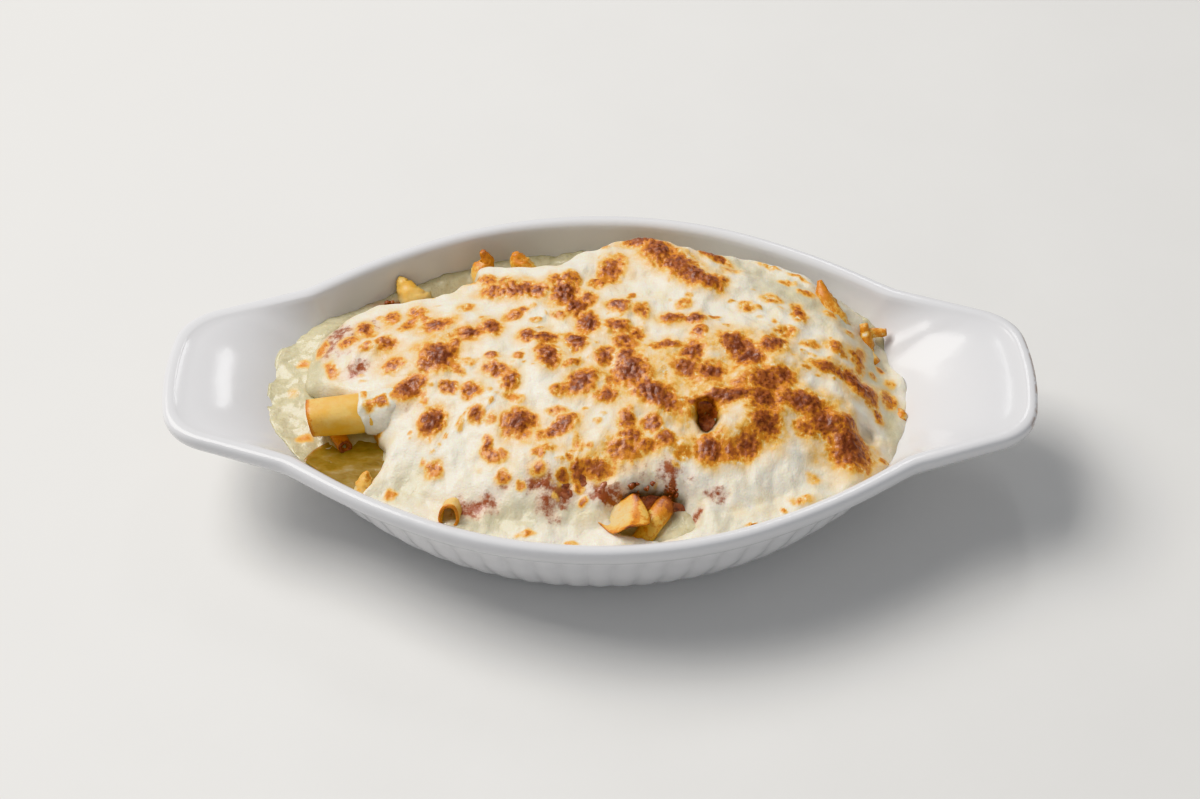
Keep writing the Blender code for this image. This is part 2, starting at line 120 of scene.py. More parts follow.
# The food's levels
MOUND_HEIGHT = 0.0155
MOUND_HALF_LENGTH = 0.098
MOUND_FRONT = 0.066
MOUND_BACK = 0.075
MOUND_OFFSET_Y = 0.004
WALL_LEVEL = 0.0415
BED_LEVEL = 0.0385
BED_BACK_DROP = 0.0105
RIGHT_DROP = 0.0110
LEFT_DROP = 0.0030
# At the back the cream climbs the wall, along an oval of these half sizes
BED_CLIMB = 0.0045
CLIMB_OVAL = (0.1000, 0.0640)
CORE_UNDER_TOP = 0.0035  # how far the pasta and cream stay below the cheese's top
RIB_HEIGHT = 0.0009  # of the ribbed cream at the left
SKIN = 0.0012  # of cheese over what lies right under it
EDGE_SHOULDER = 0.0058  # how far in from a free edge the cheese is at its full height
NOISE_CELLS = 64  # random fields repeat after this many cells
# Outlines: half length, half width at the back, half width at the front, and steps as direction in degrees,
# spread in degrees and how far the edge moves out
CHEESE_OUTLINE = (
    (0.099, 0.058, 0.086),
    ((30, 20, 0.006), (96, 9, -0.005), (117, 15, -0.014), (147, 12, -0.018), (198, 13, -0.021), (356, 20, 0.009)),
)
SAUCE_OUTLINE = ((0.097, 0.052, 0.059), ((117, 15, -0.014), (147, 14, -0.016), (203, 13, -0.030)))
# Lumps that the food below pushes up through the cheese: x, y, radius, height
LUMPS = (
    (0.018, 0.049, 0.012, 0.0036), (0.033, 0.038, 0.011, 0.0024), (-0.010, 0.033, 0.010, 0.0026),
    (-0.030, 0.033, 0.010, 0.0018), (-0.085, 0.010, 0.012, 0.0035), (-0.055, 0.002, 0.014, 0.0020),
    (0.055, -0.008, 0.016, 0.0022), (0.078, -0.026, 0.010, 0.0020), (0.047, -0.028, 0.008, 0.0030),
    (-0.020, -0.044, 0.012, 0.0024), (0.010, -0.040, 0.011, 0.0020),
)
# The open pocket at the left front, in the same form, and the sauce that has pooled in it
POCKET = (-0.081, -0.034, 0.0150, -0.0040)
POOL_CENTRE = (-0.0800, -0.0340)
POOL_SIZE = (0.0170, 0.0130)
POOL_LEVEL = 0.0362
# Where the cheese is open: centre, half sizes, depth, and how far the bottom leans back
OPENINGS = (
    ((0.0345, -0.0255), (0.0040, 0.0050), 0.0080, 0.0045),
    ((0.0880, -0.0205), (0.0040, 0.0046), 0.0035, 0.0010),
    ((0.0170, -0.0565), (0.0140, 0.0082), 0.0100, 0.0000),
)
FRONT_GAP = ((0.0170, -0.0575), (0.0150, 0.0095))  # where the bed shows: centre and half sizes

# Blisters on the cheese, in millimetres: x, y, half length, half width, turn in degrees, browning from 0 to 1
BLISTERS = (
    # left lobe
    (-85, 27, 2, 2, 0, 0.5), (-79, 15, 4, 2.2, -65, 0.75), (-84, 9, 3, 2, 0, 0.6), (-93, 10, 3, 1.8, 80, 0.6),
    (-89, 0, 4, 2, -60, 0.6), (-78, 6, 2.5, 1.8, 45, 0.4), (-71, 7, 3, 2.4, 10, 0.7), (-70, 19, 2.6, 3.2, 0, 0.7),
    (-75, 12, 2, 1.4, 90, 0.3), (-74, 21, 1.6, 1.2, 0, 0.35), (-61, 21, 3, 2.5, 0, 0.65), (-64, 15, 4, 2.2, 65, 0.5),
    (-54, 13, 4.5, 3, 10, 0.9), (-59, 17, 3, 1.4, -45, 0.6), (-45, 20, 2.5, 1.8, 0, 0.45), (-53, -2, 5.5, 5, 30, 1),
    (-56, -5, 3.5, 3, 0, 0.85), (-48, 3, 4, 2, 60, 0.6), (-47, -7, 4, 1.8, -30, 0.45), (-68, -3, 3.2, 3, 40, 0.75),
    (-43, 8, 4.2, 2.6, 5, 0.95), (-36, 10, 3.8, 3, -10, 0.9), (-49, 8, 3, 1.5, 30, 0.4), (-62, -13, 5.5, 3.5, 35, 0.95),
    (-49, -14, 3.2, 2, 0, 0.75), (-42, -16, 3.2, 3, 20, 0.8), (-67, -16, 2, 2, 0, 0.4), (-42, -4, 3, 1.8, 0, 0.35),
    (-35, -3, 2.5, 1.4, 0, 0.7), (-34, -8, 4, 2.8, -20, 0.85), (-27, -3, 2, 1.5, 20, 0.7), (-29, -13, 3, 3.3, 0, 0.85),
    (-54, -26, 3.8, 5.2, -25, 1), (-40, -25, 2.2, 2.8, 0, 0.75), (-35, -27, 2.4, 2.2, 0, 0.5),
    (-28, -19, 4, 2, -25, 0.45), (-35, -21, 1.3, 1.4, 0, 0.4), (-45, -27, 1.3, 2.8, 0, 0.4), (-36, -36, 2, 3.5, 0, 0.7),
    (-33, -40, 3.6, 2.5, -15, 0.75), (-53, -42, 3, 3.2, 40, 0.65), (-57, -39, 1.2, 1.5, 0, 0.4),
    (-72, -22, 3, 2.8, 0, 0.65), (-76, -19, 2.5, 2, 0, 0.4), (-67, -49, 2, 1.9, 0, 0.5), (-57, -17, 1.5, 3.6, 0, 0.4),
    # middle
    (-24, 6, 3, 2.4, 0, 0.9), (-18, 5, 3.5, 2.5, 0, 0.95), (-21, 13, 1.6, 1.2, 0, 0.45), (-17, -3, 3.5, 4.8, 15, 0.95),
    (-9, -6, 4, 1.8, 20, 0.45), (-6, -14, 5.5, 4, 45, 1), (-13, -17, 3, 2.4, 30, 0.6), (-8, 3, 3.6, 3, -35, 0.95),
    (-4, 11, 3.3, 4.4, 0, 1), (2, -3, 3, 3.4, -15, 0.85), (2, -19, 3.5, 2.8, 20, 0.9), (4, -13, 2, 3, 0, 0.6),
    (-28, 16, 4.2, 1.8, 25, 0.7), (-22, 19, 1.8, 1.2, 0, 0.35), (-14, 15, 2.6, 1.6, 0, 0.55),
    (-26, -29, 5, 5.2, -20, 1), (-13, -31, 7, 2.5, 28, 0.85), (-14, -25, 4, 1.8, 0, 0.5), (-19, -40, 4, 1.8, 20, 0.5),
    (-7, -37, 1.5, 4.5, 10, 0.3), (-1, -29, 1.6, 1.2, 0, 0.35), (-31, -47, 2.2, 2, 0, 0.7), (-23, -65, 3, 1.4, 0, 0.5),
    (-9, -68, 2.4, 1.2, 0, 0.4), (-1, -45, 5, 2.8, 0, 0.8), (-7, -46, 2.5, 3, 0, 0.75),
    # back ridge
    (-36, 27, 4, 3, 10, 0.65), (-27, 27, 7, 3.4, 0, 0.85), (-21, 26, 3, 2.8, 0, 0.8), (-12, 24, 4, 4.6, 0, 1),
    (-8, 19, 3.5, 3.6, 0, 1), (-13, 30, 4, 3, 0, 0.7), (-9, 31, 2.5, 4, 20, 0.5), (-4, 22, 3, 2.8, 0, 0.75),
    (-44, 35, 3, 2.4, 0, 0.6), (-38, 33, 3.6, 2.6, -20, 0.55), (-32, 32, 2.4, 1.8, 0, 0.5),
    (4, 37, 4.5, 6.5, -20, 0.75), (-1, 30, 3, 2.4, 0, 0.6), (2, 49, 1.5, 2.4, 10, 0.35), (14, 52, 5, 3.5, 0, 0.9),
    (20, 46, 5, 5.5, 0, 0.95), (26, 39, 5, 4.6, 0, 0.95), (31, 34, 4.5, 4, -30, 0.95), (37, 31, 4.5, 3.4, -30, 0.9),
    (39, 47, 6, 1.8, -30, 0.85), (41, 33, 3, 3, 0, 0.5), (45, 40, 4, 3, 0, 0.3),
    # right of the middle
    (6, 19, 4, 2.8, 0, 0.85), (14, 17, 2.8, 3.2, 0, 0.6), (11, 24, 1.2, 1.7, 0, 0.6), (28, 21, 3, 2.4, 30, 0.45),
    (24, 14, 4, 2, 10, 0.9), (32, 14, 3, 2.4, 0, 0.9), (33, 8, 2.4, 2.6, 0, 0.75), (38, 16, 2, 0.9, 10, 0.6),
    (42, 12, 1.5, 0.8, 0, 0.35), (6, 10, 4, 2.8, -20, 0.75), (8, 3, 3.5, 3, 10, 0.8), (12, 7, 2.5, 2.8, 0, 0.7),
    (22, 2, 5, 2, 8, 0.8), (30, -1, 3, 4.6, 0, 0.85), (10, -9, 5.5, 5, 0, 1), (9, -3, 3, 3.4, 0, 0.85),
    (28, -8, 4, 3.2, 0, 0.85), (36, -9, 4.2, 3.6, 0, 0.95), (39, -5, 2, 2.5, 0, 0.4), (21, -10, 1, 2.4, 0, 0.35),
    (45, 3, 5.5, 4.5, -35, 1), (49, -2, 4, 3.8, 0, 1), (57, 4, 4.6, 3.6, 30, 0.95), (49, 22, 3, 2.8, -20, 0.5),
    (58, 27, 3.4, 2.3, 0, 0.5), (67, 22, 2.6, 4, 15, 0.75), (62, 12, 4, 2.6, 0, 0.5), (70, 8, 3.6, 1.9, 0, 0.4),
    (79, 8, 4, 2.3, -30, 0.6), (86, 8, 1.8, 2.8, 0, 0.55), (87, 4, 1.4, 2.6, 0, 0.45), (60, -9, 4, 3.4, 0, 0.9),
    # bands round the two openings
    (54, -12, 5.5, 4.6, 0, 0.85), (76, -2, 7, 2.3, -10, 0.75), (85, -4, 6, 3.2, -40, 0.95), (90, -5, 2.8, 3.6, 10, 0.8),
    (46, -13, 3.6, 2.6, 30, 0.5), (18, -19, 8, 4.2, -35, 1), (30, -21, 4, 2, 10, 0.7), (40, -19, 11, 2.6, 12, 0.95),
    (53, -19, 4.6, 4.4, 0, 0.95), (66, -18, 8, 3.6, -10, 1), (73, -24, 6, 4.8, -25, 0.95), (66, -27, 4, 2.8, 0, 0.7),
    (81, -23, 3, 4, 0, 0.85), (81, -31, 6.5, 6.8, 0, 1), (53, -28, 4.4, 4.6, 40, 0.95), (47, -35, 5.4, 3.6, 40, 0.85),
    (42, -38, 4, 3.4, 0, 0.7), (35, -37, 4.6, 4.4, 0, 1), (9, -29, 3, 4, 0, 0.8), (17, -30, 3.2, 2.8, 0, 0.8),
    (10, -35, 4, 3.4, 0, 0.75), (8, -40, 5, 4, 0, 0.65), (15, -38, 3.6, 2.6, 0, 0.6), (21, -35, 3.5, 2.8, 0, 0.75),
    (26, -39, 3, 3, 0, 0.5),
    # front, beside the gap
    (-19.5, -46, 2.2, 2, 0, 0.7), (-12, -48, 1.9, 1.9, 0, 0.75), (-7, -45, 1.5, 2.6, 0, 0.85),
    (-6.5, -50, 1.4, 2, 0, 0.7), (-18, -42, 1.3, 1.6, 0, 0.5), (-10, -42, 1.4, 1.4, 0, 0.45),
    (-5.5, -55, 1.5, 1.6, 0, 0.6), (-31, -46.5, 1.4, 1.5, 0, 0.6), (-25, -50, 1.5, 1.3, 0, 0.4),
    (-14, -53, 1.2, 1.2, 0, 0.35),
    # right front
    (68, -43, 2.4, 2.6, 0, 0.3), (64, -51, 4, 1.4, 0, 0.4), (58, -55, 1.2, 0.8, 0, 0.5), (48, -61, 2.4, 0.5, 5, 0.6),
    (93, -29, 1.5, 1.3, 0, 0.5),
    # right end and right back
    (70, 33, 3, 1.8, -20, 0.55), (78, 24, 2.4, 1.6, -30, 0.5), (84, 19, 2, 1.3, 0, 0.35), (64, 38, 3.4, 1.4, -20, 0.45),
    (88, 12, 1.8, 2.6, 10, 0.4), (92, 6, 1.6, 1.2, 0, 0.4), (95, 11, 1.2, 1.6, 0, 0.5), (58, 46, 4, 1.0, -25, 0.5),
    (68, 41, 4.5, 0.9, -30, 0.45), (83, 28, 2.6, 0.9, -50, 0.4), (97, -2, 3, 3.6, -15, 0.6),
    (92, -11, 1.5, 2.2, 10, 0.7), (98, 5, 2.2, 2, 0, 0.35),
)
# Where the meat sauce shows through the cheese, in the same form
SAUCE_SHOWS = (
    (-88, 15, 5, 7, 0, 0.75), (-82, 13, 5, 6, 0, 0.7), (-91, 9, 2.5, 3.5, 0, 1), (-80, -2, 5, 3, 20, 0.75),
    (-78, 17, 3.5, 4, -30, 0.9), (-86, 7, 4, 3, 0, 0.5), (-70, -1, 4, 2.2, 10, 0.5), (-62, -20, 7, 4, 20, 0.3),
    (-75, -19, 4, 3, 0, 0.3), (-19, -49, 4.5, 4, 0, 0.9), (-12, -52, 5, 3.4, 0, 0.9), (-17, -55, 3.4, 6, 20, 0.7),
    (-39, -55, 6, 3, 20, 1), (-45, -54, 3, 2.4, 0, 0.9), (-5, -50, 7, 4, 0, 0.5), (2, -52, 5.5, 3.2, -10, 1),
    (8, -53, 4, 3.5, 0, 0.7), (-30, -49, 4, 2.5, 0, 0.5), (22, -45, 3, 3, 0, 1), (22, -51, 2, 5, 0, 1),
    (37, -51, 3.5, 3, 0, 0.6), (28, -48, 4, 4, 0, 0.3), (-7, -48, 3, 3.5, 0, 0.8), (10, -45, 8, 4, 0, 0.35),
    (31, -56, 2.5, 1.5, 0, 0.7), (44, -27, 4, 4, 0, 0.2),
)
# Where painted shade darkens the inside of the cheese's openings and of the front gap, in the same form
HOLLOWS = ((34.5, -24.5, 8, 9, 0, 1), (88, -20.5, 6, 7, 0, 0.8), (16, -50, 13, 5, 0, 0.9))
# Where the cheese is thin and half clear, and where painted shade darkens the mound's front slope, in the same form
SHEER_AND_SHADED = (
    (-96, 2, 7, 22, 0, 1), (-90, -12, 6, 7, 0, 0.8), (72, 30, 24, 9, -22, 0.8), (92, 8, 7, 18, 10, 0.9),
    (97, -14, 4, 14, 0, 0.9), (72, -48, 26, 10, 30, 0.35), (50, 44, 10, 6, -30, 0.6), (-55, 40, 12, 5, 5, 0.7),
    # The rows at (-30, -59) and (-62, -46) are painted shade on the mound's front slope, in the sheer colour
    (-30, -59, 30, 6, 8, 0.8), (-62, -46, 12, 7, 30, 0.7), (34, -60, 16, 4, 0, 0.5),
)
# Where the cheese between the blisters has begun to turn gold, in the same form
WASHES = (
    (45, -14, 46, 24, -10, 0.20), (-25, 25, 30, 9, 0, 0.14), (25, 42, 22, 12, -25, 0.18), (-60, 8, 28, 18, 0, 0.14),
    (0, -38, 28, 10, 0, 0.14), (-5, 10, 30, 18, 0, 0.10), (85, 5, 12, 22, 0, 0.14),
)
SPECKS = 220  # smaller gold specks between the blisters
# Toast and sauce on the bed, in the same form
BED_TOAST = ((-100, 11, 2.5, 2, 0, 0.45), (-103, -2, 2, 3, 0, 0.25), (-97, -21, 3, 2, 0, 0.4))
BED_BLUSH = ((-67, 42.5, 11, 2.6, 5, 1), (18, -52, 7, 3.4, 0, 1))
# Where crumbs of meat lie, in millimetres: x, y, half length, half width, and how large the crumbs are from 0 to 1
CRUMB_BEDS = ((17, -50, 8, 2.5, 0.7), (-67, 42, 9, 1.6, 0.6))

PASTA_WALL = 0.0012
# The loose pasta's nodes. A piece's place in this list is its seed.
LOOSE_PASTA = (
    "penne_left_front", "penne_left_under", "penne_tip_left", "penne_end_front", "noodle_front_open",
    "noodle_front_back", "penne_back_left", "penne_back_middle", "penne_corner_back", "penne_right_back",
)
# The tubes: middle, heading and rise in degrees, length, radius, width and height factors, end cut in degrees, and
# how brown each is at its low end, in its middle and at its high end
TUBES = {
    "penne_left_front": ((-0.0796, -0.0179, 0.0450), 8, 0, 0.030, 0.0064, (1.0, 1.0), 8, (0.22, 0.03, 0.05)),
    # penne_left_under is browned darker as painted shade: its end lies in the shadow under the left tube
    "penne_left_under": ((-0.0850, -0.0228, 0.0372), 300, 0, 0.007, 0.0024, (1.0, 0.8), -24, (0.45, 0.5, 0.7)),
    "penne_end_front": ((-0.0470, -0.0556, 0.0412), 262, 34, 0.011, 0.0042, (0.8, 1.15), 12, (-0.1, 0.0, 0.2)),
    "noodle_front_back": ((0.0165, -0.0590, 0.0390), 56, 14, 0.014, 0.0034, (1.0, 0.8), 42, (0.3, 0.3, 0.7)),
}
# The wide noodle at the front rim: middle, heading and rise in degrees, length and half width
SHEET = ((0.0075, -0.0590, 0.0432), 340, 11, 0.018, 0.00675)
# The loose ends that taper to a tip: points and radii along each in millimetres, and how brown both ends are
TIPS = {
    "penne_tip_left": (
        ((-76, -45, 36), (-75.5, -43, 39.5), (-75, -41.5, 42), (-74.5, -41, 43.5)), (3.4, 2.8, 1.6, 0.6), (0.0, 0.35)
    ),
    "penne_back_left": (
        ((-40, 50, 32), (-41, 52, 38), (-39.5, 54.5, 42), (-41, 55.5, 46)), (4.6, 4.2, 2.4, 1.0), (-0.2, 0.65)
    ),
    "penne_back_middle": (
        ((-27, 50, 32), (-26, 52, 38), (-28.5, 54.5, 42), (-29.5, 55.5, 45)), (4.6, 4.4, 3.4, 1.2), (-0.5, 0.50)
    ),
    "penne_corner_back": (
        ((-63, 44, 29), (-66, 46, 33), (-69, 49, 36.5), (-70.5, 51, 38)), (6.0, 4.6, 2.4, 0.5), (-0.3, 0.0)
    ),
    "penne_right_back": (
        ((82, 21, 38), (79.5, 27, 42), (76.5, 33, 46.5), (75, 37.5, 50)), (5.0, 4.2, 2.8, 0.8), (0.05, 0.50)
    ),
}
# Pasta half sunk at the bed's surface: x and y in millimetres, and heading in degrees
SUNK_PASTA = (
    (-58, 44, 10), (-50, 47, 170), (-74, 36, 30), (-15, 56, 10), (-34, 47, 5), (50, 43, 150), (62, 36, 155),
    (86, 24, 120), (94, 12, 95),
)
SUNK_SIZE = (0.020, 0.0046, (1.0, 0.8), 40, (0.2, 0.0, 0.2))  # from length to browning, in the form of TUBES
SUNK_DEPTH = 0.0028

# Crisp bits of cheese round the mound: points as x, y and height above the food or wall, and radii, in millimetres
CRISPS = (
    (((92, 16, -1), (91.5, 19, 1), (91, 23, 3), (90, 26, 4.5)), (1.6, 2.4, 2.2, 1.4)),
    (((91, 24, 2.5), (94, 25, 3), (98, 25.5, 3.5)), (1.8, 1.7, 1.3)),
    (((96, 4, 0), (98, 7, 1), (98, 9.5, 2)), (1.6, 2.4, 1.6)),
    (((100, -9, 0), (101, -7, 1), (100.5, -4, 1.5)), (1.4, 2.2, 1.6)),
    (((55, 45, 0), (55, 48, 3), (54.5, 51, 6), (54, 54, 8)), (2.4, 1.5, 1.0, 0.4)),
    (((62, 41, 0), (66, 40, 2), (70, 37.5, 2.5), (73, 35, 2)), (1.0, 1.6, 1.6, 1.0)),
    (((55, 50, 4), (56.5, 52, 6)), (0.6, 0.3)),
    (((14, 54, 0), (14, 56, 3), (14.5, 57, 6)), (2.2, 1.4, 0.4)),
    (((2, 48, 0), (1, 50, 3), (1, 51, 5)), (1.6, 1.2, 0.6)),
    (((-44, 50, 1), (-43, 52, 4), (-41, 53.5, 7)), (2.4, 2.0, 1.0)),
    (((-32, 50, 1), (-30, 52, 4), (-30.5, 53.5, 6)), (2.2, 1.8, 0.8)),
    (((-36, 51, 0), (-35, 52.5, 2), (-34, 53.5, 3)), (2.2, 2.2, 1.4)),
)
CRISP_TOAST = 0.38
# The cheese round the left tube's buried end: points and radii in millimetres, and its blisters
SLEEVE = (
    ((-79, -18, 44.6), (-77, -17.6, 44.8), (-74, -17.2, 44.8), (-70, -16.7, 44.6), (-64, -16, 44)),
    (5.6, 7.0, 7.6, 7.8, 7.0),
)
SLEEVE_BLISTERS = ((-75, -20, 2.2, 2.2, 0, 0.5), (-71, -18.5, 2.6, 1.8, 10, 0.75), (-77, -15, 1.2, 2.4, 0, 0.35))

# How fine the layers' grids are, along and across the dish
CORE_GRID = (240, 150)
SAUCE_GRID = (200, 130)
POOL_GRID = (60, 40)
CHEESE_GRID = (330, 205)

# The stage: each light's place, size and tint
LIGHTS = (
    ("Key", (-1.40, 0.70, 2.10), (1.5, 1.5), (1.0, 0.975, 0.94)),
    ("Fill", (0.35, -1.1, 0.9), (1.2, 0.9), (0.93, 0.96, 1.0)),
    ("Window", (0.17, 0.74, 0.88), (0.10, 0.22), (1.0, 1.0, 1.0)),
)
SKY_COLOUR = (0.93, 0.96, 1.0, 1.0)
FLOOR_SIZE = 6.0
AIM_Y = -0.0118  # the camera looks at the point at this place and the rim's height


# ---------------------------------------------------------------- settings


def colour(name, default, description):
    return FloatVectorProperty(
        name=name, description=description, default=default, subtype="COLOR", size=3, min=0.0, max=1.0
    )


def length(name, default, description):
    return FloatProperty(name=name, description=description, default=default, unit="LENGTH", min=0.0)


def power(name, default, description):
    return FloatProperty(name=name, description=description, default=default, unit="POWER")


class DishSettings(bpy.types.PropertyGroup):
    flutes: IntProperty(name="Flutes", description="Flutes round the outer wall", default=64, min=8)
    flute_depth: length("Flute depth", 0.0009, "From a flute's crest to the groove beside it")
    points_per_flute: IntProperty(name="Points per flute", description="Fineness round the dish", default=8, min=4)
    glaze: colour("Glaze", (0.72, 0.715, 0.725), "The white glaze")
    worn: colour("Worn edge", (0.30, 0.17, 0.09), "Where the glaze is worn along the ears' edges")


class FoodSettings(bpy.types.PropertyGroup):
    blister_height: length("Blister height", 0.0009, "How far a blister stands above the cheese round it")
    fold_height: length("Fold height", 0.0010, "Height of the folds in the melted cheese")
    crumbs: IntProperty(name="Crumbs", description="Meat crumbs that show in the sauce", default=60, min=0)
    cream: colour("Cream", (0.90, 0.84, 0.71), "Melted cheese that hasn't browned")
    # The sheer colour is also painted shade on the mound's front slope
    sheer: colour("Sheer cream", (0.60, 0.54, 0.35), "Thin, half-clear cheese and sauce")
    gold: colour("Gold", (0.89, 0.53, 0.13), "Cheese that has begun to brown")
    orange: colour("Orange", (0.70, 0.26, 0.035), "Half-browned cheese")
    brown: colour("Brown", (0.40, 0.120, 0.036), "Browned cheese")
    char: colour("Dark brown", (0.19, 0.050, 0.022), "The darkest blisters")
    meat: colour("Meat sauce", (0.36, 0.105, 0.045), "Red-brown meat sauce")
    pasta: colour("Pasta", (0.90, 0.50, 0.09), "Cooked pasta")
    broth: colour("Pooled sauce", (0.34, 0.22, 0.06), "Thin yellow-brown sauce")


class StageSettings(bpy.types.PropertyGroup):
    floor: colour("Floor", (0.78, 0.77, 0.75), "The plain pale floor")
    key_power: power("Key light", 66.0, "Soft light, high on the left")
    fill_power: power("Fill light", 1.6, "Soft light from the front")
    window_power: power("Window", 0.7, "Small light at the back")
    sky: FloatProperty(name="Sky", description="Strength of the even light all round", default=0.34, min=0.0)
    elevation: FloatProperty(
        name="Elevation", description="Camera's angle above the floor", default=np.radians(49.45), subtype="ANGLE"
    )
    distance: length("Distance", 0.7062, "From the camera to the point that it looks at")
    lens: FloatProperty(name="Lens", description="Focal length in millimetres", default=64.49, min=1.0)


# ---------------------------------------------------------------- shader expressions


class Signal:
    """The output of a shader node. Python's operators on it add Math nodes."""

    def __init__(self, look, socket):
        self.look = look
        self.socket = socket

    def math(self, operation, *operands, clamp=False):
        return self.look.node("ShaderNodeMath", {"operation": operation, "use_clamp": clamp}, operands)

    def __add__(self, other):
        return self.math("ADD", self, other)

    def __sub__(self, other):
        return self.math("SUBTRACT", self, other)

    def __mul__(self, other):
        return self.math("MULTIPLY", self, other)

    def clamped(self):
        return self.math("ADD", self, 0.0, clamp=True)

    __radd__ = __add__
    __rmul__ = __mul__


class Look:
    """A material, with its shader's constant sockets given by name."""

    def __init__(self, name, **constants):
        self.material = bpy.data.materials.new(name)
        self.material.use_nodes = True
        self.tree = self.material.node_tree
        self.shader = self.tree.nodes["Principled BSDF"]
        for socket, value in constants.items():
            self.shader.inputs[socket.replace("_", " ")].default_value = value

    def node(self, kind, settings=None, values=(), output=0):
        """Adds a node: its settings first, then its inputs' values or links, in order or by name."""
        made = self.tree.nodes.new(kind)
        for key, value in (settings or {}).items():
            if key == "stops":
                self.set_stops(made.color_ramp, value)
            else:
                setattr(made, key, value)
        inputs = [each for each in made.inputs if each.enabled]
        named = values.items() if isinstance(values, dict) else enumerate(values)
        for key, value in named:
            socket = inputs[key] if isinstance(key, int) else next(each for each in inputs if each.name == key)
            self.feed(socket, value)
        return Signal(self, [each for each in made.outputs if each.enabled][output])

    def set_stops(self, ramp, stops):
        while len(ramp.elements) < len(stops):
            ramp.elements.new(1.0)
        for element, (position, shade) in zip(ramp.elements, stops):
            element.position = position
            element.color = (*shade, 1.0)

    def feed(self, socket, value):
        if isinstance(value, Signal):
            self.tree.links.new(value.socket, socket)
        elif socket.type == "RGBA" and len(value) == 3:
            socket.default_value = (*value, 1.0)
        else:
            socket.default_value = value

    def surface(self, **signals):
        for name, signal in signals.items():
            self.feed(self.shader.inputs[name.replace("_", " ")], signal)
        return self.material

    def point(self, stretch=(1.0, 1.0, 1.0)):
        """The place on the piece, in millimetres."""
        place = self.node("ShaderNodeTexCoord", output=3)
        scale = tuple(each / MM for each in stretch)
        return self.node("ShaderNodeVectorMath", {"operation": "MULTIPLY"}, (place, scale))

    def attribute(self, name):
        return self.node("ShaderNodeAttribute", {"attribute_name": name}, output=2)

    def cloud(self, point, size, detail=3.0, rough=0.55):
        """Noise from 0 to 1 with features of about this many millimetres."""
        values = {"Vector": point, "Scale": 1 / size, "Detail": detail, "Roughness": rough}
        return self.node("ShaderNodeTexNoise", {}, values)

    def cells(self, point, size):
        values = {"Vector": point, "Scale": 1 / size}
        return self.node("ShaderNodeTexVoronoi", {"feature": "SMOOTH_F1"}, values)

    def rise(self, low, high, signal):
        """0 up to low, 1 from high on, and smooth between."""
        values = {"Value": signal, "From Min": low, "From Max": high}
        return self.node("ShaderNodeMapRange", {"interpolation_type": "SMOOTHSTEP"}, values)

    def mix(self, share, a, b):
        return self.node("ShaderNodeMix", {"data_type": "RGBA"}, {"Factor": share, "A": a, "B": b})

    def ramp(self, signal, stops):
        return self.node("ShaderNodeValToRGB", {"stops": stops}, (signal,))

    def bump(self, height, distance, strength=1.0):
        values = {"Strength": strength, "Distance": distance, "Height": height}
        return self.node("ShaderNodeBump", {}, values)


# Colours that the settings' colours are mixed with
WARM_CREAM = (0.90, 0.74, 0.46)
ROSY_CREAM = (0.72, 0.42, 0.30)
LIGHT_CREAM = (0.68, 0.61, 0.42)
DULL_CREAM = (0.47, 0.40, 0.22)
# HOLLOW_SHADE is painted shade for the inside of the cheese's openings
HOLLOW_SHADE = (0.06, 0.035, 0.014)
DARK_MEAT, LIGHT_MEAT = (0.12, 0.03, 0.015), (0.48, 0.19, 0.09)
LIGHT_PASTA = (0.92, 0.61, 0.19)
CREAMY_PASTA = (0.66, 0.60, 0.38)
DARK_BROTH, LIGHT_BROTH = (0.22, 0.13, 0.02), (0.46, 0.36, 0.18)
FLOOR_SHADE = 0.94  # of the floor's colour, where it is darkest
# The toast at which each of the settings' colours starts, and at which it is full
BROWNING = (("gold", 0.06, 0.30), ("orange", 0.24, 0.44), ("brown", 0.48, 0.74), ("char", 0.76, 1.05))


def browned(look, toast, base, food):
    """The colour of a browned surface, from base through gold and orange to dark brown."""
    for name, start, full in BROWNING:
        base = look.mix(look.rise(start, full, toast), base, getattr(food, name))
    return base


def cheese_look(food):
    look = Look(
        "Melted cheese",
        Subsurface_Weight=0.22,
        Subsurface_Radius=(1.0, 0.62, 0.32),
        Subsurface_Scale=0.0022,
        Coat_Weight=0.25,
        Coat_Roughness=0.16,
    )
    point = look.point()
    soft, middle, fine = look.cloud(point, 9.0), look.cloud(point, 2.2, 4.0, 0.6), look.cloud(point, 0.7, 3.0, 0.6)
    pits = look.cells(point, 1.5)
    toast, blush, sheer = (look.attribute(name) for name in ("toast", "blush", "sheer"))
    near = look.rise(0.12, 0.50, toast)
    patchy = (toast + ((middle - 0.5) * 0.9 + (fine - 0.5) * 0.6 - (pits - 0.43) * 0.6) * near).clamped()
    cream = look.mix(look.rise(0.45, 0.75, soft) * 0.7, food.cream, WARM_CREAM)
    # sheer mixes in the sheer colour: half-clear cheese, and painted shade on the mound's front slope
    mottled = sheer * look.rise(0.30, 0.62, 0.55 * middle + 0.45 * soft + 0.22 * sheer)
    cream = look.mix(mottled, cream, food.sheer)
    cream = look.mix(look.rise(0.05, 0.6, blush) * 0.45, cream, ROSY_CREAM)
    veined = look.rise(0.20, 0.64, 0.75 * blush + 1.3 * (middle - 0.5) + 0.3 * (fine - 0.5))
    cream = look.mix(veined * look.rise(0.05, 0.30, blush), cream, food.meat)
    height = fine * 0.5 + middle * 0.6 - pits * look.rise(0.25, 0.7, toast)
    # Where the deep attribute says, painted shade (HOLLOW_SHADE) darkens the openings' insides
    return look.surface(
        Base_Color=look.mix(look.attribute("deep"), browned(look, patchy, cream, food), HOLLOW_SHADE),
        Roughness=0.34 + 0.16 * patchy + 0.10 * (fine - 0.5),
        Normal=look.bump(height, 0.00045),
    )


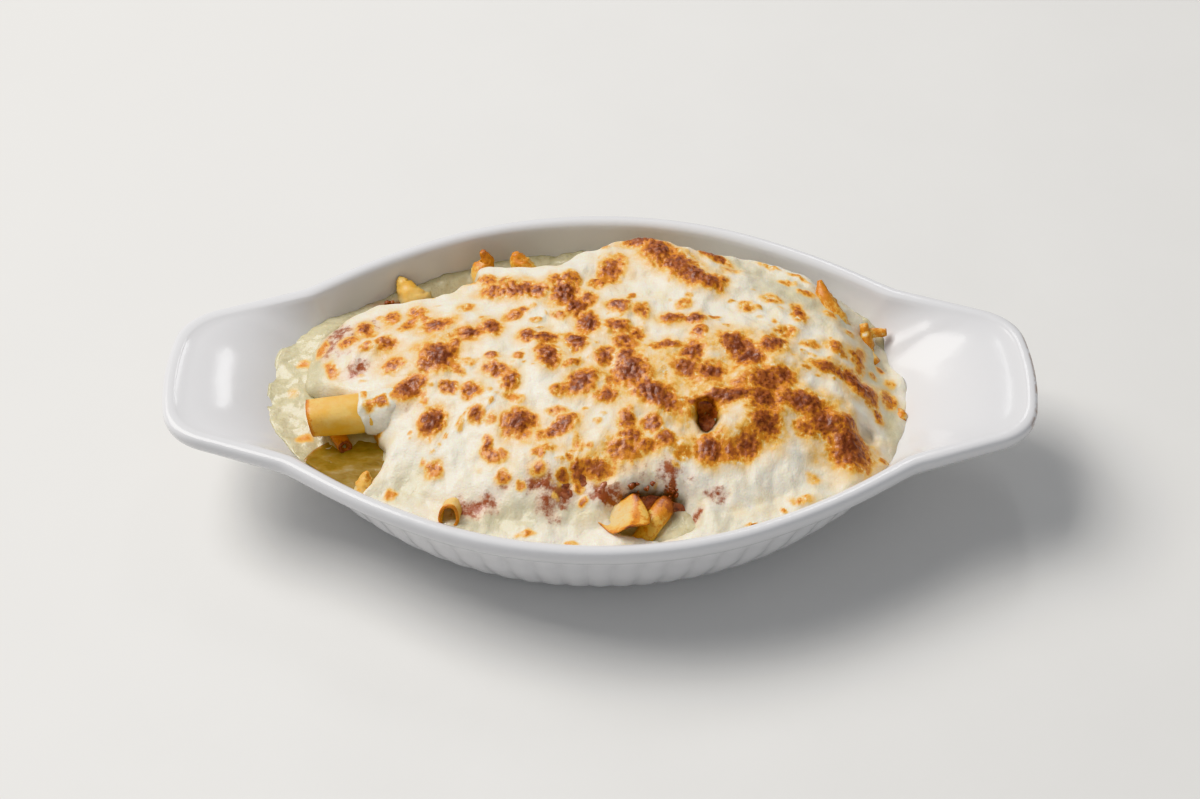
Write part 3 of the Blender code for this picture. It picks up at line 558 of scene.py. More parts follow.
def cream_look(food):
    look = Look(
        "Pasta in cream",
        Subsurface_Weight=0.25,
        Subsurface_Radius=(1.0, 0.7, 0.35),
        Subsurface_Scale=0.0030,
        Coat_Weight=0.4,
        Coat_Roughness=0.12,
    )
    point = look.point()
    soft, middle, fine = look.cloud(point, 7.0, 4.0), look.cloud(point, 2.4, 4.0), look.cloud(point, 0.8)
    toast = (look.attribute("toast") + (middle - 0.5) * 0.3).clamped()
    base = look.mix(look.rise(0.45, 0.75, soft) * 0.7, food.sheer, LIGHT_CREAM)
    base = look.mix(look.rise(0.50, 0.70, middle) * 0.6, base, DULL_CREAM)
    base = look.mix(look.attribute("blush"), base, food.meat)
    return look.surface(
        Base_Color=browned(look, toast, base, food),
        Roughness=0.26 + 0.18 * fine,
        Normal=look.bump(middle * 0.7 + fine * 0.4, 0.0004),
    )


def meat_look(food):
    look = Look("Meat sauce", Subsurface_Weight=0.10, Subsurface_Scale=0.002, Coat_Weight=0.5, Coat_Roughness=0.15)
    point = look.point()
    middle, fine = look.cloud(point, 1.8, 4.0), look.cloud(point, 0.6)
    return look.surface(
        Base_Color=look.ramp(middle, ((0.30, DARK_MEAT), (0.52, tuple(food.meat)), (0.72, LIGHT_MEAT))),
        Roughness=0.28 + 0.3 * fine,
        Normal=look.bump(middle * 0.6 + fine * 0.4, 0.0006),
    )


def pasta_look(food):
    look = Look(
        "Cooked pasta",
        Subsurface_Weight=0.18,
        Subsurface_Radius=(1.0, 0.6, 0.2),
        Subsurface_Scale=0.002,
        Coat_Weight=0.2,
        Coat_Roughness=0.2,
    )
    point = look.point()
    soft, middle, fine = look.cloud(point, 6.0), look.cloud(point, 1.6, 4.0), look.cloud(point, 0.5)
    toast = (look.attribute("toast") + (middle - 0.5) * 0.75 + (fine - 0.5) * 0.3).clamped()
    base = look.mix(look.rise(0.35, 0.65, soft), food.pasta, LIGHT_PASTA)
    base = look.mix(look.attribute("sheer"), base, CREAMY_PASTA)
    return look.surface(
        Base_Color=browned(look, toast, base, food),
        Roughness=0.36 + 0.22 * fine,
        Normal=look.bump(middle * 0.5 + fine * 0.5, 0.00025),
    )


def broth_look(food):
    look = Look("Pooled sauce", Subsurface_Weight=0.3, Subsurface_Scale=0.003, Coat_Weight=0.8, Coat_Roughness=0.05)
    cloud = look.cloud(look.point((1.0, 2.0, 1.0)), 6.0)
    return look.surface(
        Base_Color=look.ramp(cloud, ((0.3, DARK_BROTH), (0.55, tuple(food.broth)), (0.8, LIGHT_BROTH))),
        Roughness=0.10 + 0.1 * cloud,
        Normal=look.bump(cloud, 0.0004),
    )


def glaze_look(dish):
    look = Look("White glaze", Coat_Weight=0.15, Coat_Roughness=0.10)
    point = look.point()
    soft, fine = look.cloud(point, 30.0), look.cloud(point, 2.5, 4.0)
    worn = look.attribute("worn") * look.rise(0.38, 0.60, fine)
    return look.surface(
        Base_Color=look.mix(worn, dish.glaze, dish.worn),
        Roughness=0.15 + 0.06 * soft + 0.20 * worn,
        Normal=look.bump(look.cloud(point, 14.0), 0.0006, 0.25),
    )


def floor_look(stage):
    look = Look("Pale floor")
    fine = look.cloud(look.point(), 60.0, 5.0)
    shade = tuple(FLOOR_SHADE * each for each in stage.floor)
    return look.surface(Base_Color=look.mix(fine, stage.floor, shade), Roughness=0.55 + 0.1 * fine)


# ---------------------------------------------------------------- outlines and levels


def smooth_max(a, b, reach):
    return np.maximum(a, b) + np.maximum(reach - np.abs(a - b), 0.0) ** 2 / (4 * reach)


def smooth_step(low, high, value):
    t = np.clip((value - low) / (high - low), 0.0, 1.0)
    return t * t * (3 - 2 * t)


def oval_radius(angle, half_length, half_width):
    return 1 / np.hypot(np.cos(angle) / half_length, np.sin(angle) / half_width)


def rim_field(x, y, inset):
    """Below zero inside the dish's outline, which is drawn in by inset."""
    x, y = np.abs(x), np.abs(y)
    end = BOWL_LENGTH / 2 - inset
    bowl = (DISH_WIDTH / 2 - inset) * np.sqrt(np.maximum(1 - (x / end) ** 2, 0.0))
    neck = EAR_NECK_PULL * np.maximum(EAR_NECK - x, 0.0) ** 2
    ear = EAR_WIDTH / 2 - inset + EAR_FLARE * (EAR_FLARE_START - x) - neck
    bow = EAR_END_CROWN * (y / (EAR_WIDTH / 3)) ** 2
    return smooth_max(y - smooth_max(bowl, ear, SHOULDER), x - (DISH_LENGTH / 2 - inset - bow), EAR_CORNER)


def halving(low, high, is_below, rounds=36):
    """The value in each range at which is_below turns false."""
    for _ in range(rounds):
        middle = (low + high) / 2
        below = is_below(middle)
        low, high = np.where(below, middle, low), np.where(below, high, middle)
    return low


def rim_radius(angle, inset=0.0):
    low, high = np.full_like(angle, DISH_WIDTH / 4), np.full_like(angle, DISH_LENGTH / 2 + EAR_CORNER)
    return halving(low, high, lambda r: rim_field(r * np.cos(angle), r * np.sin(angle), inset) < 0)


def ear_share(angle, span=EAR_SPAN):
    """0 along the dish's sides, rising to 1 where the ear stands this far out from the bowl's oval."""
    bowl = oval_radius(angle, BOWL_LENGTH / 2, DISH_WIDTH / 2)
    return smooth_step(0.0, span, rim_radius(angle) - bowl)


def around(function, count=1440):
    """The same function of the angle, read from a table that is made once."""
    angles = np.linspace(-np.pi, np.pi, count + 1)
    table = function(angles)
    return lambda angle: np.interp((angle + np.pi) % (2 * np.pi) - np.pi, angles, table)


lip_of = around(lambda angle: rim_radius(angle, LIP_ARCS[-1][-1][0]))
share_of = around(ear_share)
root_share_of = around(lambda angle: ear_share(angle, EAR_ROOT))


def inner_wall(angle, step):
    """Radius and height along the hollow's curve, from the floor at step 0 to the lip at step 1."""
    share = share_of(angle)
    _, side_lip, ear_lip = LIP_ARCS[-1][-1]
    floor = oval_radius(angle, FLOOR_HALF_LENGTH, FLOOR_HALF_WIDTH)
    bowl = oval_radius(angle, BOWL_LENGTH / 2 - LIP_INNER, DISH_WIDTH / 2 - LIP_INNER) - floor
    controls = [(floor, FLOOR_HEIGHT)]
    for (side_reach, ear_reach), (side_height, ear_height) in WALL_CONTROLS:
        reach = side_reach + (ear_reach - side_reach) * share
        controls.append((floor + reach * bowl, side_height + (ear_height - side_height) * share))
    controls.append((lip_of(angle), side_lip + (ear_lip - side_lip) * root_share_of(angle)))
    weights = ((1 - step) ** 3, 3 * step * (1 - step) ** 2, 3 * step**2 * (1 - step), step**3)
    radius = sum(w * r for w, (r, _) in zip(weights, controls))
    height = sum(w * (z + 0 * angle) for w, (_, z) in zip(weights, controls))
    return radius, height


def along_wall(angle, is_below):
    """Radius and height of the hollow's wall at the step at which is_below(radius, height) turns false."""
    step = halving(np.zeros_like(angle), np.ones_like(angle), lambda s: is_below(*inner_wall(angle, s)))
    return inner_wall(angle, step)


def wall_reach(angle, height):
    """How far out the hollow's wall is at this height."""
    return along_wall(angle, lambda r, z: z < height)[0]


def wall_height(x, y):
    """How high the hollow's wall is above this point."""
    radius = np.hypot(x, y)
    return along_wall(np.arctan2(y, x), lambda r, z: r < radius)[1]


def kept_inside(points):
    """The same points, drawn in where they would go through the dish's wall."""
    x, y, z = points.T
    angle, radius = np.arctan2(y, x), np.hypot(x, y)
    reach = wall_reach(angle, np.minimum(z, WALL_TOP)) - WALL_GAP
    share = np.where(z < DISH_HEIGHT, np.minimum(reach / radius, 1.0), 1.0)
    return np.column_stack([x * share, y * share, z])


def cells(x, y, size):
    """Which cell of a square grid each point is in, and how far across it."""
    u, v = x / size, y / size
    i, j = np.floor(u).astype(int), np.floor(v).astype(int)
    return i, j, u - i, v - j


def noise(x, y, size, seed):
    """A smooth random field between about -1 and 1, with features of this size."""
    turn = np.random.default_rng(seed).uniform(0, 2 * np.pi, (NOISE_CELLS, NOISE_CELLS))
    i, j, f, g = cells(x, y, size)

    def corner(di, dj):
        angle = turn[(i + di) % NOISE_CELLS, (j + dj) % NOISE_CELLS]
        return np.cos(angle) * (f - di) + np.sin(angle) * (g - dj)

    a, b = (t**3 * (t * (6 * t - 15) + 10) for t in (f, g))
    low = corner(0, 0) * (1 - a) + corner(1, 0) * a
    high = corner(0, 1) * (1 - a) + corner(1, 1) * a
    return 1.5 * (low * (1 - b) + high * b)


def relief(x, y, *waves):
    """The sum of waves of noise, each given as its height, size and seed."""
    return sum(height * noise(x, y, size, seed) for height, size, seed in waves)


def bubbles(x, y, size, seed):
    """Round bumps of about this size, 1 at each top and 0 between them."""
    rng = np.random.default_rng(seed)
    offset_x, offset_y = rng.uniform(0.1, 0.9, (2, NOISE_CELLS, NOISE_CELLS))
    i, j, f, g = cells(x, y, size)
    nearest = np.full_like(f, 9.0)
    for di in (-1, 0, 1):
        for dj in (-1, 0, 1):
            cell = (i + di) % NOISE_CELLS, (j + dj) % NOISE_CELLS
            nearest = np.minimum(nearest, (di + offset_x[cell] - f) ** 2 + (dj + offset_y[cell] - g) ** 2)
    return np.maximum(1 - nearest / 0.4, 0.0)


def warped(x, y, coarse, fine, seed):
    """The same points moved about a little, so that what is drawn at them gets an uneven edge."""
    dx, dy = (relief(x, y, (coarse, 0.0050, first), (fine, 0.0018, first + 1)) for first in (seed, seed + 2))
    return x + dx, y + dy


def spots(x, y, rows, sharp=2.6, grow=1.0):
    """The strongest of these spots at each point, from rows in the form of BLISTERS."""
    strength = np.zeros_like(x)
    for *sizes, turn, amount in rows:
        centre_x, centre_y, half_length, half_width = (each * MM for each in sizes)
        along, across = turned(x - centre_x, y - centre_y, turn)
        reach = np.hypot(along / (half_length * grow), across / (half_width * grow))
        strength = np.maximum(strength, amount * np.exp(-(reach**sharp) * 0.8))
    return strength


def turned(dx, dy, degrees):
    """Distances along and across a heading."""
    turn = np.radians(degrees)
    return dx * np.cos(turn) + dy * np.sin(turn), dy * np.cos(turn) - dx * np.sin(turn)


def lump(x, y, centre_x, centre_y, radius, height):
    return height * np.exp(-((x - centre_x) ** 2 + (y - centre_y) ** 2) / radius**2)


def right_fall(x):
    return RIGHT_DROP * smooth_step(0.076, 0.103, x)


def dome(x, y):
    """The height of the cheese's top, before its folds and blisters."""
    v = y - MOUND_OFFSET_Y
    reach = np.hypot(x / MOUND_HALF_LENGTH, v / np.where(v < 0, MOUND_FRONT, MOUND_BACK))
    rise = MOUND_HEIGHT * np.maximum(1 - reach**2.5, 0.0)
    return WALL_LEVEL - right_fall(x) + rise + sum(lump(x, y, *each) for each in LUMPS)


def bed_level(x, y):
    """The height of the pasta and cream where no cheese covers them. At the back they climb the wall."""
    back = BED_BACK_DROP * smooth_step(0.012, 0.045, y)
    falls = np.maximum(back, right_fall(x)) + LEFT_DROP * smooth_step(0.084, 0.110, -x)
    half_length, half_width = CLIMB_OVAL
    climb_from = half_width * np.sqrt(np.maximum(1 - (x / half_length) ** 2, 0.0))
    climb = BED_CLIMB * smooth_step(-0.008, 0.0, y - climb_from)
    return BED_LEVEL - falls + lump(x, y, *POCKET) + climb * smooth_step(0.01, 0.03, y)


def stepped_outline(halves, steps):
    half_length, back, front = halves

    def radius(angle):
        base = oval_radius(angle, half_length, np.where(np.sin(angle) > 0, back, front))
        for direction, spread, amount in steps:
            turn = (np.degrees(angle) - direction + 180) % 360 - 180
            base = base + amount * np.exp(-((turn / spread) ** 4))
        return base

    return around(radius)


def settle(outline, level, into_wall, ragged, seed):
    """The edge of a layer in each direction: its uneven outline, or the wall where that is nearer."""

    def radius(angle):
        free = outline(angle)
        x, y = free * np.cos(angle), free * np.sin(angle)
        free = free + ragged * relief(x, y, (1, 0.009, seed), (0.5, 0.004, seed + 1))
        reach = free
        for _ in range(4):
            wall = wall_reach(angle, level(reach * np.cos(angle), reach * np.sin(angle)))
            reach = np.minimum(free, wall + into_wall)
        return reach

    return around(radius)


# ---------------------------------------------------------------- meshes


def disc_grid(across, along, flatness=0.62):
    """Shares of the radius and angles for a grid of points that fills an oval evenly."""
    a = np.linspace(-1, 1, along + 1)[:, None] + np.zeros(across + 1)[None, :]
    b = np.linspace(-1, 1, across + 1)[None, :] + np.zeros(along + 1)[:, None]
    wide = np.abs(a) >= np.abs(b)
    share = np.where(wide, a, b)
    safe_a, safe_b = np.where(a == 0, 1e-9, a), np.where(b == 0, 1e-9, b)
    turn = np.where(wide, np.pi / 4 * (b / safe_a), np.pi / 2 - np.pi / 4 * (a / safe_b))
    turn = turn + np.where(share < 0, np.pi, 0.0)
    return np.abs(share), np.arctan2(flatness * np.sin(turn), np.cos(turn))


def grid_faces(shape):
    """The faces of a grid of points, and the numbers of the points round its border."""
    number = np.arange(shape[0] * shape[1]).reshape(shape)
    quads = np.stack([number[:-1, :-1], number[1:, :-1], number[1:, 1:], number[:-1, 1:]], axis=-1).reshape(-1, 4)
    border = np.concatenate([number[:-1, 0], number[-1, :-1], number[:0:-1, -1], number[0, :0:-1]])
    return quads, border


def layer(name, edge, top, bottom, grid, under=(0.94, 0.8, 0.55, 0.25), lean=None):
    """A closed layer: a fine grid on top(x, y, share, angle), closed below by a few rings on bottom(x, y, share)."""
    share, angle = disc_grid(grid[1], grid[0])
    radius = share * edge(angle)
    x, y = radius * np.cos(angle), radius * np.sin(angle)
    z = top(x, y, share, angle)
    if lean:
        x, y = lean(x, y)
    points = np.stack([x, y, z], axis=-1).reshape(-1, 3)
    quads, border = grid_faces(share.shape)
    faces = quads.tolist()
    outer = border
    edge_angle = angle.reshape(-1)[border]
    for ring_share in under:
        rx, ry = ring_share * edge(edge_angle) * (np.cos(edge_angle), np.sin(edge_angle))
        inner = len(points) + np.arange(len(border))
        points = np.concatenate([points, np.column_stack([rx, ry, bottom(rx, ry, ring_share)])])
        faces += np.stack([outer, inner, np.roll(inner, -1), np.roll(outer, -1)], axis=-1).tolist()
        outer = inner
    points = np.concatenate([points, points[outer].mean(axis=0)[None]])
    last = len(points) - 1
    faces += [[last, int(b), int(a)] for a, b in zip(outer, np.roll(outer, -1))]
    return make_mesh(name, points, faces)


def make_mesh(name, points, faces):
    mesh = bpy.data.meshes.new(name)
    mesh.from_pydata(points.tolist(), [], faces)
    mesh.shade_smooth()
    return mesh


def coordinates(mesh):
    co = np.zeros(len(mesh.vertices) * 3)
    mesh.vertices.foreach_get("co", co)
    return co.reshape(-1, 3)


def paint(mesh, **values):
    """Writes numbers from 0 to 1 on the mesh's points, for its material to read."""
    for name, value in values.items():
        field = mesh.attributes.new(name, "FLOAT", "POINT")
        value = np.broadcast_to(np.clip(value, 0, 1), len(mesh.vertices))
        field.data.foreach_set("value", value.astype(np.float32))


def move_points(mesh, points):
    mesh.vertices.foreach_set("co", points.ravel())


def add_piece(name, mesh, material, slot, *nodes):
    """Puts a piece in the scene, on the object's one body, in place of these nodes."""
    mesh.materials.append(material)
    piece = bpy.data.objects.new(name, mesh)
    bpy.context.scene.collection.objects.link(piece)
    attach(piece, "root")
    for node in nodes:
        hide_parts(node)
    return piece


def join(parts):
    """One list of points and faces from many."""
    points, faces, start = [], [], 0
    for part_points, part_faces in parts:
        points.append(part_points)
        faces += [[start + index for index in face] for face in part_faces]
        start += len(part_points)
    return np.concatenate(points), faces


def loft(rings, closed_ends=True):
    """Points and faces of a closed tube through these rings of points."""
    points = np.concatenate(rings)
    number = np.arange(len(points)).reshape(len(rings), -1)
    following = np.roll(number, -1, axis=1)
    quads = np.stack([number[:-1], following[:-1], following[1:], number[1:]], axis=-1)
    faces = quads.reshape(-1, 4).tolist()
    if closed_ends:
        first, last, top = len(points), len(points) + 1, int(number[-1, 0])
        points = np.concatenate([points, [rings[0].mean(axis=0), rings[-1].mean(axis=0)]])
        for i, j in zip(number[0].tolist(), following[0].tolist()):
            faces += [[first, j, i], [last, top + i, top + j]]
    return points, faces


def smooth_rows(rows, steps):
    """More rows between these, on smooth curves through them, up to the last row and without it."""
    rows = [2 * rows[0] - rows[1], *rows, 2 * rows[-1] - rows[-2]]
    made = []
    for p0, p1, p2, p3 in zip(rows, rows[1:], rows[2:], rows[3:]):
        bend, twist = 2 * p0 - 5 * p1 + 4 * p2 - p3, 3 * p1 - p0 - 3 * p2 + p3
        made += [0.5 * (2 * p1 + (p2 - p0) * u + bend * u**2 + twist * u**3) for u in np.arange(steps) / steps]
    return made


def strand(path, radii, sides=10, steps=6, wobble=0.0, seed=0):
    """Points and faces of a rounded strand along a smooth path, thick or thin as the radii say."""
    path = np.array(path, float)
    centres = np.array([*smooth_rows(path, steps), path[-1]])
    radius = np.interp(np.arange(len(centres)) / steps, np.arange(len(path)), radii)
    rng = np.random.default_rng(seed)
    along = np.gradient(centres, axis=0)
    along /= np.linalg.norm(along, axis=1)[:, None] + 1e-12
    side = np.cross(along, [0.3, 0.2, 1.0])
    side /= np.linalg.norm(side, axis=1)[:, None] + 1e-12
    up = np.cross(side, along)
    angle = np.arange(sides) / sides * 2 * np.pi
    rings = []
    for i, centre in enumerate(centres):
        rough = 1 + wobble * rng.normal(size=sides)
        offsets = np.cos(angle)[:, None] * side[i] + np.sin(angle)[:, None] * up[i]
        rings.append(centre + offsets * (radius[i] * rough)[:, None])
    return loft(rings)


# ---------------------------------------------------------------- the dish


def even_angles(radius, count):
    """Angles of count points spread evenly along the closed curve radius(angle)."""
    angle = np.linspace(0, 2 * np.pi, 8193)
    points = radius(angle) * np.array([np.cos(angle), np.sin(angle)])
    along = np.concatenate([[0], np.cumsum(np.hypot(*np.diff(points)))])
    return np.interp(np.arange(count) / count * along[-1], along, angle)


def ring(angle, radius, height):
    return np.column_stack([radius * np.cos(angle), radius * np.sin(angle), 0 * radius + height])


def dish_mesh(dish):
    """The dish as rings from the foot up the outer wall, over the lip and down the hollow to its floor."""
    count = dish.flutes * dish.points_per_flute
    wall_angles = even_angles(lambda a: oval_radius(a, *OUTER_WALL[4][:2]), count)
    rim_angles = (wall_angles + even_angles(rim_radius, count)) / 2
    wall_share, rim_share = ear_share(wall_angles, EAR_ROOT), ear_share(rim_angles, EAR_ROOT)
    reed = np.abs(np.cos(np.arange(count) / dish.points_per_flute * np.pi)) - 0.5

    def lip_ring(inset, side, end):
        return ring(rim_angles, rim_radius(rim_angles, inset), side + (end - side) * rim_share)

    foot = oval_radius(wall_angles, *OUTER_WALL[0][:2])
    rings = [ring(wall_angles, share * foot, height) for share, height in FOOT]
    wall = []
    for (half_length, half_width, side, end), fluting in zip(OUTER_WALL, FLUTE_SHARES):
        radius = oval_radius(wall_angles, half_length, half_width) + fluting * dish.flute_depth * reed
        wall.append(ring(wall_angles, radius, side + (end - side) * wall_share))
    rings += smooth_rows([*wall, lip_ring(*LIP_ARCS[0][0])], CURVE_STEPS)
    for arc in np.array(LIP_ARCS):
        for u in np.arange(CURVE_STEPS) / CURVE_STEPS:
            weights = ((1 - u) ** 2, 2 * u * (1 - u), u * u)
            rings.append(lip_ring(*sum(weight * each for weight, each in zip(weights, arc))))
    rings += [ring(rim_angles, *inner_wall(rim_angles, step)) for step in np.linspace(1, 0, HOLLOW_RINGS)]
    floor = rings[-1]
    rings += [floor * np.array([share, share, 1.0]) for share in FLOOR_RINGS]
    points, faces = loft(rings)
    return make_mesh("gratin_dish_glazed", np.maximum(points, (-1, -1, 0)), faces)


class PASTA_OT_dish(bpy.types.Operator):
    """Make the glazed gratin dish, with its ears, rounded lip and fluted wall"""

    bl_idname = "baked_pasta.dish"
    bl_label = "Gratin dish"

    def execute(self, context):
        dish = context.scene.baked_pasta_dish
        mesh = dish_mesh(dish)
        x, y, z = coordinates(mesh).T
        edge = np.abs(rim_field(x, y, 0.0)) < WORN_REACH
        paint(mesh, worn=edge * smooth_step(*WORN_X, x) * smooth_step(*WORN_HIGH, z) * smooth_step(*WORN_LOW, z))
        add_piece("gratin_dish_glazed", mesh, glaze_look(dish), "dish_glaze", "gratin_dish")
        return {"FINISHED"}


# ---------------------------------------------------------------- pasta bed and sauces


def cheese_edges():
    """The cheese's edge in each direction, and how free of the wall it is there."""
    edge = settle(stepped_outline(*CHEESE_OUTLINE), dome, 0.0005, 0.0011, 21)

    def freedom(angle):
        r = edge(angle)
        reach = wall_reach(angle, dome(r * np.cos(angle), r * np.sin(angle)))
        return smooth_step(0.0005, 0.0050, reach - r)

    return edge, around(freedom)


CHEESE_EDGE, CHEESE_FREE = cheese_edges()


def opening_depth(x, y):
    """How far the openings in the cheese push its surface down, and how far it leans back."""
    wx, wy = warped(x, y, 0.0009, 0.0004, 71)
    depth, back = np.zeros_like(x), np.zeros_like(x)
    for (cx, cy), (half_length, half_width), deep, lean in OPENINGS:
        inside = 1 - smooth_step(0.50, 1.30, np.hypot((wx - cx) / half_length, (wy - cy) / half_width))
        depth = np.maximum(depth, deep * inside)
        back = np.maximum(back, lean * inside)
    return depth, back


def core_top(x, y, share, angle):
    """The cream and pasta: under the cheese they reach up into it, and beside it they lie at their own level."""
    inside = CHEESE_EDGE(np.arctan2(y, x)) - np.hypot(x, y)
    (cx, cy), (half_length, half_width) = FRONT_GAP
    gap = 1 - smooth_step(0.9, 1.3, np.hypot((x - cx) / half_length, (y - cy) / half_width))
    cover = smooth_step(0.003, 0.012, inside) * (1 - gap)
    lumps = relief(x, y, (0.0011, 0.011, 5), (0.0005, 0.0045, 6), (0.0002, 0.002, 7))
    left = smooth_step(0.080, 0.094, -x)
    ribs = left * RIB_HEIGHT * noise(x, y, 0.0045, 8) * noise(x, y, 0.0022, 9)
    bare = bed_level(x, y) + lumps + ribs
    return (1 - cover) * bare + cover * (dome(x, y) - CORE_UNDER_TOP) - 1.3 * opening_depth(x, y)[0] * cover


class PASTA_OT_bed(bpy.types.Operator):
    """Make the pasta and cream that fill the dish"""

    bl_idname = "baked_pasta.bed"
    bl_label = "Pasta in cream"

    def execute(self, context):
        def bottom(x, y, share):
            return 0.0080 + 0.0300 * max(share - 0.75, 0.0) + 0 * x

        edge = settle(lip_of, bed_level, 0.0004, 0.0, 31)
        mesh = layer("pasta_core", edge, core_top, bottom, CORE_GRID, under=(0.80, 0.5, 0.2))
        x, y, _ = coordinates(mesh).T
        wx, wy = warped(x, y, 0.0010, 0.0005, 41)
        paint(mesh, toast=spots(wx, wy, BED_TOAST), blush=spots(wx, wy, BED_BLUSH))
        add_piece("pasta_in_cream", mesh, cream_look(context.scene.baked_pasta_food), "pasta_cream", "pasta_bed")
        return {"FINISHED"}


def sauce_top(x, y, share, angle):
    wx, wy = warped(x, y, 0.0008, 0.0004, 51)
    show = spots(wx, wy, SAUCE_SHOWS, sharp=3.0)
    chunks = bubbles(wx, wy, 0.0034, 52)
    depth, _ = opening_depth(x, y)
    fall = 0.0035 * smooth_step(0.9, 1.0, share)
    return dome(x, y) - 0.0026 + 0.0016 * show + 0.0016 * chunks * (0.4 + 0.6 * show) - 1.7 * depth - fall


class PASTA_OT_sauce(bpy.types.Operator):
    """Make the meat sauce under the cheese, and the crumbs of meat that stand out of it"""

    bl_idname = "baked_pasta.sauce"
    bl_label = "Meat sauce"

    def execute(self, context):
        def bottom(x, y, share):
            return dome(x, y) - 0.0085 + 0.003 * share

        food = context.scene.baked_pasta_food
        look = meat_look(food)
        edge = settle(stepped_outline(*SAUCE_OUTLINE), dome, 0.0, 0.0008, 53)
        mesh = layer("meat_sauce", edge, sauce_top, bottom, SAUCE_GRID)
        add_piece("meat_sauce", mesh, look, "meat_sauce", "sauce_layer")
        crumbs = make_mesh("meat_crumbs", *join(crumb_shapes(food.crumbs)))
        add_piece("meat_crumbs", crumbs, look, "meat_sauce")
        return {"FINISHED"}


def crumb_shapes(count):
    """Small uneven lumps of meat where the sauce shows, in the front gap and in the crevice at the back left."""
    rng = np.random.default_rng(11)
    shape = bmesh.new()
    bmesh.ops.create_icosphere(shape, subdivisions=2, radius=1.0)
    ball = np.array([vert.co for vert in shape.verts])
    faces = [[vert.index for vert in face.verts] for face in shape.faces]
    shape.free()
    parts = []
    for _ in range(count):
        cx, cy, half_length, half_width, amount = CRUMB_BEDS[rng.integers(len(CRUMB_BEDS))]
        radius, turn = np.sqrt(rng.uniform(0, 1)), rng.uniform(0, 2 * np.pi)
        x = (cx + half_length * radius * np.cos(turn)) * MM
        y = (cy + half_width * radius * np.sin(turn)) * MM
        size = rng.uniform(0.0005, 0.0014) * (0.6 + 0.4 * amount)
        covered = np.hypot(x, y) < CHEESE_EDGE(np.arctan2(y, x)) - 0.002
        level = dome(x, y) - 0.0002 - opening_depth(x, y)[0] if covered else bed_level(x, y) + 0.0005
        stretch = rng.uniform(0.75, 1.3, 3)
        rough = 1 + 0.22 * rng.normal(size=(len(ball), 1))
        lump_points = ball * stretch * rough @ np.array(Euler(rng.uniform(0, 3, 3)).to_matrix())
        parts.append((lump_points * size + (x, y, level), faces))
    return parts


class PASTA_OT_pool(bpy.types.Operator):
    """Make the thin sauce that lies in the open pocket at the left front"""

    bl_idname = "baked_pasta.pool"
    bl_label = "Pooled sauce"

    def execute(self, context):
        def top(x, y, share, angle):
            return POOL_LEVEL + 0.00012 * noise(x, y, 0.006, 61) + 0.0003 * share**8

        def bottom(x, y, share):
            return POOL_LEVEL - 0.004 * (1.3 - share) + 0 * x

        edge = around(lambda angle: oval_radius(angle, *POOL_SIZE))
        mesh = layer("pooled_sauce_clear", edge, top, bottom, POOL_GRID)
        move_points(mesh, kept_inside(coordinates(mesh) + (*POOL_CENTRE, 0)))
        look = broth_look(context.scene.baked_pasta_food)
        add_piece("pooled_sauce_clear", mesh, look, "pooled_sauce", "pooled_sauce")
        return {"FINISHED"}


# ---------------------------------------------------------------- melted cheese


def toast_field(x, y):
    """How brown the cheese is, from its blisters and the specks between them."""
    wx, wy = warped(x, y, 0.0009, 0.0005, 81)
    rng = np.random.default_rng(12)
    specks = []
    for _ in range(SPECKS):
        turn, radius = rng.uniform(0, 2 * np.pi), np.sqrt(rng.uniform(0, 1))
        size = rng.uniform(0.5, 1.4)
        place = (82 * radius * np.cos(turn), 48 * radius * np.sin(turn) - 3)
        specks.append((*place, size, size * rng.uniform(0.5, 1), 0, rng.uniform(0.15, 0.4)))
    halo = 0.30 * spots(wx, wy, BLISTERS, sharp=2.0, grow=1.6)
    darkest = np.maximum.reduce([spots(wx, wy, BLISTERS), spots(wx, wy, specks), halo])
    wash = spots(wx, wy, WASHES, sharp=2.0) * (0.8 + 0.8 * noise(x, y, 0.006, 83))
    return darkest + wash * (1 - darkest)


def cheese_relief(x, y, toast, food):
    """The cheese's folds, its blisters and the bubbles on them."""
    folds = relief(x, y, (1.3, 0.013, 91), (0.8, 0.0065, 92), (0.35, 0.0032, 93))
    blisters = toast * (0.7 + 0.9 * bubbles(x, y, 0.0021, 94) + 0.3 * noise(x, y, 0.0013, 95))
    return food.fold_height * folds + food.blister_height * blisters


def tube_ridge(x, y):
    """The height of the skin of cheese over the buried end of the left tube, and far below it elsewhere."""
    (cx, cy, cz), heading, _, _, radius, *_ = TUBES["penne_left_front"]
    along, across = turned(x - cx, y - cy, heading)
    ridge = cz + radius + SKIN - across**2 / (1.3 * radius)
    return ridge - 0.02 * (1 - smooth_step(0.001, 0.007, along)) - 0.02 * smooth_step(0.016, 0.034, along)


